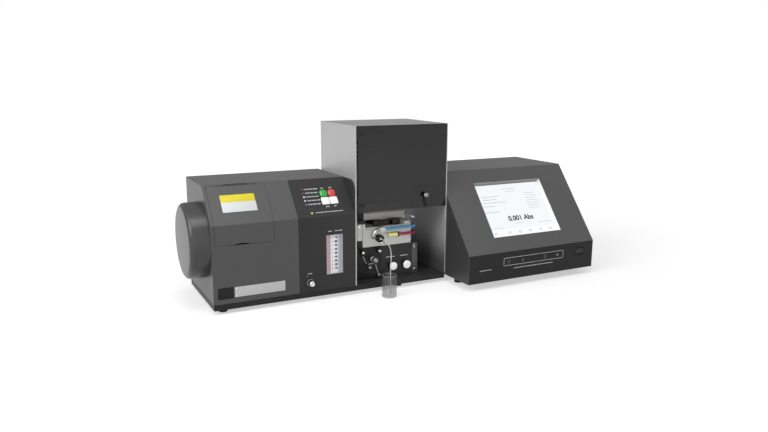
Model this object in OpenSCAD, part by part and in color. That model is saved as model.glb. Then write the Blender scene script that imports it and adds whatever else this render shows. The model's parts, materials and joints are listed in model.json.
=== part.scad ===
// Bench atomic absorption spectrometer: lamp cabinet, burner tower and console on one base.
// Millimetres, +Z up, front towards -Y. The origin is on the bench under the middle of the whole instrument.

/* [Overall] */
// Width of the lamp cabinet at the left
cab_w = 345; // [335:1:400]
// Width of the burner tower
tower_w = 254; // [245:1:300]
// Width of the console at the right
console_w = 401; // [390:1:460]
// How far the turret drum stands out of the left end
drum_out = 45; // [40:1:60]
// Depth of the cabinet and console tops' rear plane behind the cabinet's front
body_d = 236; // [232:1:260]
// How far the console reaches forward of the cabinet
console_overhang = 111; // [105:1:130]
// Length of the gas spigots behind the rear plane
spigot_l = 18; // [12:1:30]
// Thickness of the sheet panels
sheet = 2; // [1.5:0.1:2.5]
// Height of the feet under the base tray
foot_h = 10; // [6:1:12]
// Height of the base tray
tray_h = 13.5; // [12:0.5:16]
// Radius of the feet
foot_r = 10; // [8:0.5:14]

/* [Cabinet] */
// Height of the front bend above the bench
bend_z = 202; // [198:1:210]
// Height of the cabinet's and the console's tops above the bench
top_z = 282; // [278:1:292]
// Depth of the cabinet's sloping face
slope_run = 69; // [64:1:74]
// Distance of the lamp lid from the cabinet's left face
lid_x = 8; // [6:0.5:14]
// Width of the lamp lid
lid_w = 135.5; // [120:0.5:138]
// Height of the lid's lower edge above the bench
lid_z = 156; // [150:1:170]
// Width of the finger scoop in the lid's lower edge
scoop_w = 43; // [30:1:60]
// Height of the finger scoop
scoop_h = 3; // [2:0.5:6]
// Radius of the lid hinge's knuckles
lid_knuckle_r = 2.8; // [2.6:0.1:3]
// Radius of the lid hinge's pin
lid_pin_r = 1.2; // [1:0.1:1.5]
// Width of the dark gas panel
gas_panel_w = 144; // [140:1:150]

/* [Turret] */
// Distance of the turret's axis behind the cabinet's front
turret_y = 88; // [88:1:95]
// Height of the turret's axis above the bench
turret_z = 156; // [150:1:156]
// Radius of the drum that covers the turret
drum_r = 87; // [84:1:87]
// Wall of the drum
drum_wall = 3; // [2:0.5:4]
// Rounding of the drum's outer edge
drum_edge = 12; // [6:1:16]
// Number of hollow cathode lamps
lamp_count = 6; // [4:1:8]
// Radius of a lamp
lamp_r = 19; // [16:0.5:20]
// Length of a lamp
lamp_l = 160; // [150:1:165]
// Distance of the lamps from the turret's axis
lamp_pitch = 60; // [56:1:62]
// Radius of the turret's spindle
spindle_r = 6; // [4:0.5:8]
// Radius of the turret's discs
disc_r = 82; // [80:0.5:83]

/* [Gas panel] */
// Side of the square push buttons
button_side = 19.5; // [16:0.5:20]
// Distance between neighbouring buttons, across and up the slope
button_pitch = 21; // [21:0.5:24]
// Travel of the buttons
button_travel = 2.5; // [1.5:0.5:3]
// Radius of the indicator lamps
led_r = 2.2; // [1.5:0.1:3]
// Distance between the indicator lamps
led_pitch = 10.4; // [9:0.1:11]
// Width of the flowmeter
flow_w = 42; // [36:1:48]
// Height of the flowmeter
flow_h = 96; // [80:1:96]
// Radius of the flowmeter's tubes
tube_r = 4; // [3:0.5:5]
// Radius of the trim valve's knob
trim_r = 6.5; // [5:0.5:8]

/* [Tower] */
// Height of the tower above the bench
tower_z = 409; // [400:1:430]
// Depth of the tower
tower_d = 215; // [210:1:218]
// How far the tower's edges stand forward of the cabinet's front
tower_proud = 2.5; // [1:0.5:6]
// Height of the door's lower edge above the bench
door_z = 201.5; // [196:0.5:206]
// Thickness of the door
door_t = 5; // [4:0.5:6]
// Radius of the door hinges' knuckles
door_knuckle_r = 2; // [1.8:0.1:2.4]
// Radius of the door hinges' pins
door_pin_r = 1; // [0.8:0.1:1.2]
// Radius of the door knob
door_knob_r = 6.5; // [5:0.5:9]
// Number of exhaust slots in the tower's back
exhaust_count = 6; // [3:1:8]

/* [Burner] */
// Length of the burner head along the beam
head_l = 112; // [100:1:120]
// Radius of the knurled clamp ring
clamp_r = 42; // [36:1:44]
// Radius of the white gas knobs
gas_knob_r = 11; // [9:0.5:13]
// Radius of the nebuliser's cap
neb_r = 10; // [8:0.5:12]
// Radius of the gas hoses
hose_r = 3.5; // [3:0.25:4]
// Radius of the carriage's guide rods
rod_r = 4; // [3:0.5:5]
// Travel of the carriage each way
carriage_travel = 6; // [3:1:8]
// Radius of the sample capillary
capillary_r = 1; // [0.8:0.1:1.5]
// Radius of the sample cup
cup_r = 18.5; // [16:0.5:24]
// Height of the sample cup
cup_h = 55; // [45:1:70]
// Wall of the sample cup
cup_wall = 1.5; // [1:0.1:2]

/* [Console] */
// Height of the console's underside above the bench
console_z = 19; // [16:1:22]
// Height of the console's front bend above the bench
console_bend_z = 91.5; // [88:0.5:100]
// Depth of the console's sloping face
console_run = 152; // [145:1:160]
// Width of the screen opening
screen_w = 217; // [190:1:230]
// Height of the screen opening along the slope
screen_h = 161; // [140:1:165]
// Distance of the screen from the console's front bend along the slope
screen_low = 42; // [38:1:50]
// Depth of the screen below the slope
recess = 14; // [8:1:16]
// Width of the power rocker
rocker_w = 25.5; // [20:0.5:30]
// Radius of the rocker about its pivot
rocker_r = 8.6; // [7:0.1:10]
// Radius of the cooling fan's opening
fan_r = 37; // [30:1:40]

/* [Clearances] */
// Radial clearance of running fits
run_fit = 0.05; // [0.02:0.01:0.1]
// Gap around lids, doors and push buttons
panel_gap = 0.5; // [0.3:0.1:1]
// Gap between sliding and turning faces
slide_gap = 0.3; // [0.2:0.05:0.5]

/* [Hidden] */
$fn = 64;

// Main planes of the instrument
overall_w = drum_out + cab_w + tower_w + console_w;
overall_d = console_overhang + body_d + spigot_l;
x_cab = -overall_w / 2 + drum_out;
x_tower = x_cab + cab_w;
x_console = x_tower + tower_w;
x_end = x_console + console_w;
x_gas = x_tower - gas_panel_w;
y_console = -overall_d / 2;
y_front = y_console + console_overhang;
y_back = y_front + body_d;
y_tower = y_front - tower_proud;
y_tower_back = y_tower + tower_d;
z_floor = foot_h + tray_h;
// How far cuts run past the faces that they open
past = 1;
hair = 0.01;
// Feet: distances from the edges, and the step up to their seats
foot_inset = 26;
foot_middle = 130;
console_foot_x = 30;
console_foot_y = 20;
foot_step = 3;
console_foot_lip = 0.5;
// Return of the rear panel beside the tower
rear_return = 8;

// Section of a housing with a sloping front, drawn in by t, from its front foot round to its back foot
function housing(y0, z0, zb, run, t) =
    let (a = atan2(top_z - zb, run))
    [[y0 + t, z0], [y0 + t, zb - t * tan(45 - a / 2)], [y0 + run + t * tan(a / 2), top_z - t],
     [y_back - t, top_z - t], [y_back - t, z0]];
function cabinet(t) = housing(y_front, z_floor, bend_z, slope_run, t);
function console(t) = housing(y_console, console_z, console_bend_z, console_run, t);
cab_tilt = atan2(top_z - bend_z, slope_run);
cab_slope = norm([slope_run, top_z - bend_z]);
console_tilt = atan2(top_z - console_bend_z, console_run);

// Beam and turret, from the cabinet's left face
beam_hole_r = 16;
bulkhead_at = 150;
front_disc_at = 10;
rear_disc_at = 90;
lamps_end_at = 130;
disc_t = 4;
hub_r = 12;
hub_end = 10;
collar_l = 8;
spindle_end = 4;
lamp_base_l = 12;
lamp_base_step = 3;
y_turret = y_front + turret_y;
z_beam = turret_z + lamp_pitch;
x_bulkhead = x_cab + bulkhead_at;
x_front_disc = x_cab + front_disc_at;
x_rear_disc = x_cab + rear_disc_at;
x_lamps = x_cab + lamps_end_at - lamp_l;

// Lid and its hinge
hinge_sink = 0.2;
lid_back = 4.5;
scoop_x = 61;
lid_web = 1.8;
lid_web_lap = 1;
lid_web_in = 0.4;
lid_knuckle_l = 20;
lid_leaf_l = 20;
lid_leaf_t = 1.5;
lid_leaf_step = 2;
x_lid = x_cab + lid_x;
lid_axis = cabinet(lid_knuckle_r + hinge_sink)[2];
lid_end = cab_slope - lid_back;

// Places on the gas panel, measured from the tower wall and up the slope
green_from_tower = 65.5;
led_from_tower = 115.5;
flow_from_tower = 54;
trim_from_tower = 118;
x_green = x_tower - green_from_tower;
x_red = x_green + button_pitch;
s_white = 40.5;
s_green = s_white + button_pitch;
button_proud = 4;
white_proud = 3;
button_depth = 7;
stem_r = 3;
stem_l = 8;
switch_floor = 3;
switch_rim = 4;
switch_depth = button_depth + stem_l + button_travel + switch_floor;
x_led = x_tower - led_from_tower;
s_led = 35;
led_count = 5;
led_proud = 0.6;
led_depth = 5;
led_collar = 1;
x_flow = x_tower - flow_from_tower;
z_flow = 108;
flow_depth = 20;
flow_cap = 8;
tube_inset = 8;
tube_floor = 6;
tube_x = flow_w / 2 - tube_inset;
float_h = 8;
z_tube = z_flow - flow_h / 2 + tube_floor;
x_trim = x_tower - trim_from_tower;
z_trim = 47;
trim_l = 17;
trim_stem = 3;
trim_rim = 3;
trim_body_l = 40;
trim_bore_l = 30;

// Door, its hinges and its latch
door_side = 0.8;
door_hinge_l = 30;
door_hinge_inset = 1.5;
door_hinge_gap = 0.2;
door_axis_out = 1.2;
wall_leaf_l = 18;
door_leaf_l = 16;
leaf_t = 1.2;
x_door = x_tower + sheet + 2 * door_knuckle_r + 2 * slide_gap + door_hinge_gap;
door_axis = [x_tower + sheet + door_knuckle_r + slide_gap, y_tower - door_axis_out];
door_hinge_end = door_hinge_inset + door_hinge_l / 2;
z_door_hinges = [door_z + door_hinge_end, tower_z - sheet - door_hinge_end];
latch_from_console = 65.5;
latch_up = 33;
x_latch = x_console - latch_from_console;
z_latch = door_z + latch_up;
latch_shaft = 3;
latch_knob_l = 12;
lever_l = 31;
lever_w = 8;
lever_t = 3;
lever_lean = 8;

// Exhaust slots
slot_w = 60;
slot_h = 6;
slot_pitch = 12;
slot_bridge = 20;
slot_top = 24;

// Burner compartment, measured from the tower's left wall, from the cabinet's front and from the bench
burner_x = 113;
chamber_x = 21;
chamber_w = 154;
chamber_y = 40;
chamber_d = 80;
chamber_z = 104;
chamber_h = 50;
clamp_h = 12;
head_h = 42;
head_base_h = 16;
head_base_d = 30;
head_neck_d = 20;
head_step = 2;
flame_slot_w = 1;
flame_slot_deep = 8;
flame_slot_end = 6;
neck_r = 20;
handle_r = 2.5;
handle_l = 45;
handle_droop = 26;
handle_in = 4;
handle_y = 12;
handle_up = 14;
x_burner = x_tower + burner_x;
x_chamber = [x_tower + chamber_x, x_tower + chamber_x + chamber_w];
y_chamber = [y_front + chamber_y, y_front + chamber_y + chamber_d];
z_chamber = [chamber_z, chamber_z + chamber_h];
head_z = [z_chamber[1] + clamp_h, z_chamber[1] + clamp_h + head_h];

gas_box_x = 89;
gas_box_w = 90;
gas_box_d = 80;
gas_box_gap = 1;
gas_flange_w = 16;
gas_flange_t = 3;
gas_bolt_r = 5;
gas_bolt_in = 9;
gas_bolt_h = 3;
knob_spacing = 39;
first_knob_x = 118;
z_gas_knobs = 51;
gas_knob_l = 14;
gas_knob_gap = 2;
gas_stem = 3;
gas_stem_l = 28;
gas_bore_l = 30;
x_gas_box = [x_tower + gas_box_x, x_tower + gas_box_x + gas_box_w];
y_gas_box = y_chamber[0];
gas_box_z = z_chamber[0] - gas_box_gap;
x_gas_knobs = [x_tower + first_knob_x, x_tower + first_knob_x + knob_spacing];

neb_x = 77;
z_neb = 128;
neb_stem = 4;
neb_y = 16;
neb_l = 14;
neb_face = 4;
neb_step = 2;
x_neb = x_tower + neb_x;
y_neb = [y_front + neb_y, y_front + neb_y + neb_l];

first_rod_x = 33;
rod_spacing = 46;
z_rods = 95;
rod_cap = 2;
rod_cap_l = 8;
screw_x = 62;
z_screw = 75;
screw_r = 3;
screw_knob_r = 7;
screw_knob_l = 22;
screw_end = 10;
bracket_y = 34;
bracket_t = 4;
bracket_foot = 30;
bracket_gap = 2;
bracket_bolt_r = 5;
bracket_bolt_h = 6;
saddle_y = 75;
saddle_l = 35;
saddle_rim = 8;
nut_half = 9;
nut_in = 5;
nut_l = 20;
bracket_bolt_x = 9;
bracket_bolt_up = 31;
bracket_bolt_in = 8;
x_rods = [x_tower + first_rod_x, x_tower + first_rod_x + rod_spacing];
x_screw = x_tower + screw_x;
y_bracket = y_front + bracket_y;
y_saddle = [y_front + saddle_y, y_front + saddle_y + saddle_l];

hose_y = 30;
hose_bend = 15;
fuel_hose_x = 92;
oxidant_hose_x = 135;
hose_turn_x = 185;
fuel_hose_z = 149;
oxidant_hose_z = 132;
hose_end = 12;
elbow_l = 12;
elbow_half = 5;
fitting_l = 31;
fitting_rim = 1.5;
fitting_inlet = 26;
y_hose = y_front + hose_y;
x_hoses = [x_tower + fuel_hose_x, x_tower + oxidant_hose_x];
x_turn = x_tower + hose_turn_x;
z_hoses = [fuel_hose_z, oxidant_hose_z];

cup_x = 66.5;
cup_out = 50;
cup_floor = 2;
cup_edge = 4;
x_cup = x_tower + cup_x;
y_cup = y_front - cup_out;
// Route of the capillary from the nebuliser's cap into the cup, from the tower's left wall, the front and the bench
capillary_route = [[77, 15.5, 128], [77, 11, 128], [79, 5, 127], [84, -1, 122], [89, -7, 112], [90, -12, 101],
    [87, -20, 92], [82, -28, 80], [77, -36, 66], [73, -43, 52], [71, -47, 38], [70, -49, 24], [70, -50, 12],
    [70, -50, 6]];
capillary_points = [for (q = capillary_route) [x_tower + q[0], y_front + q[1], q[2]]];

// Console, its screen and its rocker
screen_shift = 1.5;
bezel_rim = 6;
display_t = 6;
rocker_from_end = 47;
z_rocker = 67;
rocker_in = 5;
rocker_pin = 1.5;
rocker_pin_l = 2.4;
rocker_rim = 3;
rocker_frame_d = 22;
x_screen = x_console + console_w / 2 + screen_shift;
x_rocker = x_end - rocker_from_end;
rocker_axis_y = y_console + rocker_in;
rocker_open = rocker_r + panel_gap;

// Fan
fan_from_end = 71;
z_fan = 120;
fan_t = 25;
fan_rim = 3;
fan_hub = 14;
fan_pin = 2;
fan_blades = 7;
fan_blade_l = 14;
fan_blade_t = 2;
fan_blade_lean = 35;
fan_hub_back = 4;
strut_half = 3;
grille_half = 30;
x_fan = x_end - fan_from_end;
y_fan = y_back - sheet - fan_t;

// Monochromator and grating
mono_from_side = 14;
mono_from_fan = 28;
mono_y = 60;
mono_d = 166;
z_mono = 160;
mono_t = 6;
mono_post_r = 8;
mono_post_in = 12;
mono_plate_in = 4;
mono_plate_t = 4;
mono_plate_half = 18;
mono_plate_up = 20;
mirror_half = 25;
mirror_t = 10;
mirror_in = 6;
mirror_spacing = 70;
detector_r = 15;
detector_in = 30;
exit_slit_in = 22;
slit_half = 5;
slit_w = 1;
grating_x = 102;
grating_y = 125;
grating_shaft = 5;
grating_drop = 10;
grating_disc_r = 22;
grating_disc_t = 5;
grating_half_t = 5;
grating_half_w = 20;
x_mono = [x_console + mono_from_side, x_fan - fan_r - fan_rim - mono_from_fan];
y_mono = [y_front + mono_y, y_front + mono_y + mono_d];
grating_at = [x_console + grating_x, y_front + grating_y];

// Rear fittings
z_mains = 60;
mains_half = [16, 12];
mains_hole = [13, 9];
mains_plate = [25, 15];
mains_plate_t = 4;
mains_depth = 24;
mains_hole_depth = 18;
mains_blades = [[-7, -3], [0, 4], [7, -3]];
mains_blade = [1, 2];
mains_blade_in = 2;
hose_room = 2;
manifold_half = [25, 26];
spigot_r = 4;
spigot_spacing = 24;
x_mains = x_fan;
x_spigots = [x_turn - spigot_spacing / 2, x_turn + spigot_spacing / 2];
z_spigots = (z_hoses[0] + z_hoses[1]) / 2;

// Box between two corners
module block(a, b) { translate(a) cube(b - a); }
// Section in (y, z) drawn out along X
module along_x(x0, x1) { translate([x0, 0, 0]) rotate([90, 0, 90]) linear_extrude(x1 - x0) children(); }
// Round bars along the three axes
module bar_x(x0, x1, y, z, r) { translate([x0, y, z]) rotate([0, 90, 0]) cylinder(h = x1 - x0, r = r); }
module bar_y(x, y0, y1, z, r) { translate([x, y0, z]) rotate([-90, 0, 0]) cylinder(h = y1 - y0, r = r); }
module bar_z(x, y, z0, z1, r) { translate([x, y, z0]) cylinder(h = z1 - z0, r = r); }
// Frames on the two slopes: local y runs up the slope and local z points out of it
module on_cabinet(x, s) {
    translate([x, y_front + s * cos(cab_tilt), bend_z + s * sin(cab_tilt)])
        rotate([cab_tilt, 0, 0]) children();
}
module on_console(x, s) {
    translate([x, y_console + s * cos(console_tilt), console_bend_z + s * sin(console_tilt)])
        rotate([console_tilt, 0, 0]) children();
}
// Round and square bars about the local z axis, from z0 to z1
module plug(r, z0, z1) { translate([0, 0, z0]) cylinder(h = z1 - z0, r = r); }
module pad(w, h, z0, z1) { translate([-w / 2, -h / 2, z0]) cube([w, h, z1 - z0]); }

// Base

module base_tray() color("#252525") difference() {
    block([x_cab, y_front, foot_h], [x_console, y_back, z_floor]);
    block([x_cab + sheet, y_front + sheet, foot_h - past],
          [x_console - sheet, y_back - sheet, z_floor - sheet]);
}
module foot(x, y, top, seat) {
    bar_z(x, y, 0, top, foot_r);
    bar_z(x, y, top - past, seat, foot_r - foot_step);
}
module feet() color("#1c1c1c") {
    for (x = [x_cab + foot_inset, x_tower + foot_middle], y = [y_front + foot_inset, y_back - foot_inset])
        foot(x, y, foot_h, z_floor - sheet);
    for (x = [x_console + console_foot_x, x_end - console_foot_x],
         y = [y_front - console_foot_y, y_back - foot_inset])
        foot(x, y, console_z - console_foot_lip, console_z);
}

// Lamp cabinet

module cabinet_end_panel() color("#848484") difference() {
    along_x(x_cab, x_cab + sheet) polygon(cabinet(0));
    bar_x(x_cab - past, x_cab + sheet + past, y_turret, turret_z, drum_r - drum_wall);
}
// Front and slope as one bent sheet between two places along X
module cabinet_sheet(x0, x1) {
    o = cabinet(0);
    i = cabinet(sheet);
    along_x(x0, x1) polygon([o[0], o[1], o[2], i[2], i[1], i[0]]);
}
module cabinet_front_panel() color("#656565") difference() {
    cabinet_sheet(x_cab + sheet, x_gas);
    block([x_lid - panel_gap, y_front - past, lid_z - panel_gap],
          [x_lid + lid_w + panel_gap, y_turret, top_z + past]);
}
module cabinet_top_cover() color("#6d6d6d") difference() {
    o = cabinet(0);
    i = cabinet(sheet);
    along_x(x_cab + sheet, x_tower) polygon([o[2], o[3], [y_back, top_z - sheet], i[2]]);
    block([x_lid - panel_gap, y_front + slope_run - past, top_z - sheet - past],
          [x_lid + lid_w + panel_gap, lid_axis[0] + lid_knuckle_r + slide_gap, top_z + past]);
}
module cabinet_rear_panel() color("#6a6a6a") {
    block([x_cab + sheet, y_back - sheet, z_floor], [x_tower, y_back, top_z - sheet]);
    block([x_tower - sheet, y_tower_back - rear_return, z_floor], [x_tower, y_back - sheet, top_z - sheet]);
}
module lamp_lid() color("#6b6b6b") {
    o = cabinet(0);
    i = cabinet(sheet);
    up = [cos(cab_tilt), sin(cab_tilt)];
    difference() {
        along_x(x_lid, x_lid + lid_w)
            polygon([[y_front, lid_z], o[1], o[1] + lid_end * up,
                     o[1] + lid_end * up + sheet * [up[1], -up[0]], i[1], [y_front + sheet, lid_z]]);
        scoop_r = (scoop_w * scoop_w / 4 + scoop_h * scoop_h) / (2 * scoop_h);
        bar_y(x_lid + scoop_x, y_front - past, y_front + sheet + past, lid_z + scoop_h - scoop_r, scoop_r);
    }
    edge = o[1] + (lid_end - lid_web_lap) * up;
    inward = [up[1], -up[0]];
    for (x = [x_lid, x_lid + lid_w - lid_knuckle_l]) difference() {
        union() {
            bar_x(x, x + lid_knuckle_l, lid_axis[0], lid_axis[1], lid_knuckle_r);
            along_x(x, x + lid_knuckle_l) polygon([
                edge + lid_web_in * inward, lid_axis - (lid_knuckle_r - lid_web_in) * inward,
                lid_axis - lid_web * up, edge + sheet * inward]);
        }
        bar_x(x - past, x + lid_knuckle_l + past, lid_axis[0], lid_axis[1], lid_pin_r + run_fit);
    }
}
module lid_hinge() color("#8a8a8a") {
    inner = lid_knuckle_l + slide_gap;
    z_leaf = lid_axis[1] - lid_knuckle_r;
    bar_x(x_lid, x_lid + lid_w, lid_axis[0], lid_axis[1], lid_pin_r);
    for (x = [x_lid + inner, x_lid + lid_w - inner - lid_knuckle_l]) {
        bar_x(x, x + lid_knuckle_l, lid_axis[0], lid_axis[1], lid_knuckle_r);
        block([x, lid_axis[0], z_leaf], [x + lid_knuckle_l, lid_axis[0] + lid_leaf_l, z_leaf + lid_leaf_t]);
        block([x, lid_axis[0] + lid_knuckle_r + lid_leaf_step, z_leaf],
              [x + lid_knuckle_l, lid_axis[0] + lid_leaf_l, top_z - sheet]);
    }
}

// Lamp turret

module drum_section(r, h, edge) {
    square([r - edge, h]);
    square([r, h - edge]);
    translate([r - edge, h - edge]) circle(edge);
}
module turret_cover() color("#474747")
    translate([x_cab, y_turret, turret_z]) rotate([0, -90, 0]) rotate_extrude($fn = 96) difference() {
        drum_section(drum_r, drum_out, drum_edge);
        translate([0, -hair]) drum_section(drum_r - drum_wall, drum_out - drum_wall, drum_edge - drum_wall);
    }
module lamp_bulkhead() color("#7a7a7a") {
    i = cabinet(sheet);
    difference() {
        along_x(x_bulkhead, x_bulkhead + sheet) polygon(i);
        bar_x(x_bulkhead - past, x_bulkhead + sheet + past, y_turret, z_beam, beam_hole_r);
    }
    x_collar = x_front_disc - collar_l - slide_gap;
    bar_x(x_collar - spindle_end, x_bulkhead, y_turret, turret_z, spindle_r);
    bar_x(x_rear_disc + disc_t + hub_end + slide_gap, x_bulkhead, y_turret, turret_z, hub_r);
    bar_x(x_collar, x_collar + collar_l, y_turret, turret_z, hub_r);
}
module lamp_places() for (k = [0 : lamp_count - 1])
    translate([0, y_turret, turret_z]) rotate([90 + k * 360 / lamp_count, 0, 0])
        translate([0, lamp_pitch, 0]) children();
module lamp_turret() color("#9a9a9a") difference() {
    union() {
        for (x = [x_front_disc, x_rear_disc]) bar_x(x, x + disc_t, y_turret, turret_z, disc_r);
        bar_x(x_front_disc, x_rear_disc + disc_t + hub_end, y_turret, turret_z, hub_r);
    }
    bar_x(x_front_disc - past, x_rear_disc + disc_t + hub_end + past,
          y_turret, turret_z, spindle_r + run_fit);
    lamp_places() bar_x(x_front_disc - past, x_rear_disc + disc_t + past, 0, 0, lamp_r + run_fit);
}
module hollow_cathode_lamps() color("#c9b48a") lamp_places() {
    bar_x(x_lamps + lamp_base_l, x_lamps + lamp_l, 0, 0, lamp_r);
    bar_x(x_lamps, x_lamps + lamp_base_l, 0, 0, lamp_r - lamp_base_step);
}

// Gas panel

module gas_panel() color("#393939") difference() {
    cabinet_sheet(x_gas, x_tower);
    block([x_flow - flow_w / 2, y_front - past, z_flow - flow_h / 2],
          [x_flow + flow_w / 2, y_front + sheet + past, z_flow + flow_h / 2]);
    for (x = [x_green, x_red], s = [s_white, s_green])
        on_cabinet(x, s) pad(button_side + panel_gap, button_side + panel_gap, -sheet - past, past);
    for (k = [0 : led_count - 1]) on_cabinet(x_led, s_led + k * led_pitch) plug(led_r, -sheet - past, past);
    bar_y(x_trim, y_front - past, y_front + sheet + past, z_trim, trim_r);
}
module flowmeter_block() color("#b8c4c8") difference() {
    union() {
        block([x_flow - flow_w / 2 + slide_gap, y_front + slide_gap, z_flow - flow_h / 2 + slide_gap],
              [x_flow + flow_w / 2 - slide_gap, y_front + flow_depth, z_flow + flow_h / 2 - slide_gap]);
        block([x_flow - flow_w / 2, y_front + sheet, z_flow - flow_h / 2 - flow_cap],
              [x_flow + flow_w / 2, y_front + flow_depth, z_flow + flow_h / 2 + flow_cap]);
    }
    for (x = [x_flow - tube_x, x_flow + tube_x])
        bar_z(x, y_front + flow_depth / 2, z_tube, z_flow + flow_h / 2 + flow_cap + past, tube_r);
}
module float_at(x) bar_z(x, y_front + flow_depth / 2, z_tube, z_tube + float_h, tube_r - slide_gap);
module fuel_float() color("#202020") float_at(x_flow - tube_x);
module oxidant_float() color("#202020") float_at(x_flow + tube_x);
module status_leds() color("#e8b0b8") for (k = [0 : led_count - 1]) on_cabinet(x_led, s_led + k * led_pitch) {
    plug(led_r, -led_depth, led_proud);
    plug(led_r + led_collar, -led_depth, -sheet);
}
module push_switches() color("#2b2b2b") difference() {
    well = button_depth + button_travel + past;
    across = button_pitch + button_side + 2 * switch_rim;
    on_cabinet((x_green + x_red) / 2, (s_white + s_green) / 2) pad(across, across, -switch_depth, -sheet);
    for (x = [x_green, x_red], s = [s_white, s_green]) on_cabinet(x, s) {
        pad(button_side + panel_gap, button_side + panel_gap, -well, past);
        plug(stem_r + run_fit, -switch_depth - past, -past);
    }
}
module stem() plug(stem_r, -button_depth - stem_l, past - button_depth);
module push_button(x, s, proud) on_cabinet(x, s) {
    stem();
    pad(button_side, button_side, -button_depth, proud);
}
module green_button() color("#3cb043") push_button(x_green, s_green, button_proud);
module red_button() color("#c63c3c") push_button(x_red, s_green, button_proud);
module white_button_left() color("#f4f4f4") push_button(x_green, s_white, white_proud);
module white_button_right() color("#f4f4f4") push_button(x_red, s_white, white_proud);
module trim_valve() color("#2e2e2e") difference() {
    union() {
        bar_y(x_trim, y_front - trim_rim, y_front, z_trim, trim_r + trim_rim);
        bar_y(x_trim, y_front - past, y_front + sheet + past, z_trim, trim_r);
        bar_y(x_trim, y_front + sheet, y_front + trim_body_l, z_trim, trim_r + trim_rim);
    }
    bar_y(x_trim, y_front - trim_rim - past, y_front + trim_bore_l, z_trim, trim_stem + run_fit);
}
module trim_valve_knob() color("#c8c8c8") {
    y_knob = y_front - trim_rim - slide_gap;
    bar_y(x_trim, y_front - trim_l, y_knob, z_trim, trim_r);
    bar_y(x_trim, y_knob - past, y_front + trim_bore_l - trim_rim, z_trim, trim_stem);
}

// Burner tower

module tower_wall(x) difference() {
    block([x, y_tower, z_floor], [x + sheet, y_tower_back, tower_z]);
    bar_x(x - past, x + sheet + past, y_turret, z_beam, beam_hole_r);
}
module tower_left_wall() color("#b5b5b5") tower_wall(x_tower);
module tower_right_wall() color("#8f8f8f") tower_wall(x_console - sheet);
module tower_top() color("#a8a8a8")
    block([x_tower + sheet, y_tower + door_t + door_side, tower_z - sheet],
          [x_console - sheet, y_tower_back, tower_z]);
module tower_back() color("#7d7d7d") difference() {
    block([x_tower + sheet, y_tower_back - sheet, z_floor],
          [x_console - sheet, y_tower_back, tower_z - sheet]);
    x_middle = x_tower + tower_w / 2;
    y_cut = y_tower_back - sheet - past;
    for (k = [0 : exhaust_count - 1], x = [x_middle - slot_bridge / 2 - slot_w, x_middle + slot_bridge / 2])
        translate([x, y_cut, tower_z - slot_top - slot_h - slot_pitch * k])
            cube([slot_w, sheet + 2 * past, slot_h]);
    for (z = z_hoses) bar_y(x_turn, y_cut, y_tower_back + past, z, hose_r + slide_gap);
}
// One third of a hinge: its barrel from z0 to z1
module door_barrel(z0, z1) bar_z(door_axis[0], door_axis[1], z0, z1, door_knuckle_r);
module door_hinges() color("#9a9a9a") for (z = z_door_hinges) {
    third = door_hinge_l / 3;
    bar_z(door_axis[0], door_axis[1], z - door_hinge_l / 2, z + door_hinge_l / 2, door_pin_r);
    for (side = [-1, 1]) {
        z0 = z + side * (door_hinge_l - third) / 2;
        door_barrel(z0 - third / 2 + slide_gap, z0 + third / 2 - slide_gap);
        block([x_tower + sheet, door_axis[1], z0 - third / 2 + slide_gap],
              [x_tower + sheet + leaf_t, y_tower + wall_leaf_l, z0 + third / 2 - slide_gap]);
    }
}
module door_leaves() color("#9a9a9a") for (z = z_door_hinges) difference() {
    third = door_hinge_l / 3;
    union() {
        door_barrel(z - third / 2, z + third / 2);
        block([door_axis[0], y_tower - leaf_t, z - third / 2],
              [x_door + door_leaf_l, y_tower, z + third / 2]);
    }
    bar_z(door_axis[0], door_axis[1], z - third, z + third, door_pin_r + run_fit);
}
module tower_door() color("#3b3b3b") difference() {
    block([x_door, y_tower, door_z], [x_console - sheet - door_side, y_tower + door_t, tower_z]);
    bar_y(x_latch, y_tower - past, y_tower + door_t + past, z_latch, latch_shaft + run_fit);
}
module door_latch() color("#bbbbbb") {
    y_lever = y_tower - slide_gap - lever_t;
    y_washer = y_tower + door_t + slide_gap;
    bar_y(x_latch, y_tower - latch_knob_l, y_lever + past, z_latch, door_knob_r);
    bar_y(x_latch, y_lever, y_washer + lever_t, z_latch, latch_shaft);
    bar_y(x_latch, y_washer, y_washer + lever_t, z_latch, door_knob_r);
    translate([x_latch, y_lever, z_latch]) rotate([0, -lever_lean, 0])
        translate([-lever_w / 2, 0, -lever_l]) cube([lever_w, lever_t, lever_l + lever_w / 2]);
}

// Burner compartment

module gas_box() color("#2f2f2f") difference() {
    x_flange = x_gas_box[1] + gas_flange_w;
    union() {
        block([x_gas_box[0], y_gas_box, z_floor], [x_gas_box[1], y_gas_box + gas_box_d, gas_box_z]);
        block([x_gas_box[1] - past, y_gas_box, z_floor], [x_flange, y_gas_box + gas_flange_t, gas_box_z]);
        for (z = [z_floor + gas_bolt_in, gas_box_z - gas_bolt_in])
            bar_y(x_flange - gas_bolt_in, y_gas_box - gas_bolt_h, y_gas_box + past, z, gas_bolt_r);
    }
    for (x = x_gas_knobs) bar_y(x, y_gas_box - past, y_gas_box + gas_bore_l, z_gas_knobs, gas_stem + run_fit);
}
module gas_knob(x) {
    y_knob = y_gas_box - gas_knob_gap;
    bar_y(x, y_knob - gas_knob_l, y_knob, z_gas_knobs, gas_knob_r);
    bar_y(x, y_knob - past, y_gas_box + gas_stem_l, z_gas_knobs, gas_stem);
}
module fuel_knob() color("#d9d9d9") gas_knob(x_gas_knobs[0]);
module oxidant_knob() color("#d9d9d9") gas_knob(x_gas_knobs[1]);
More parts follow.
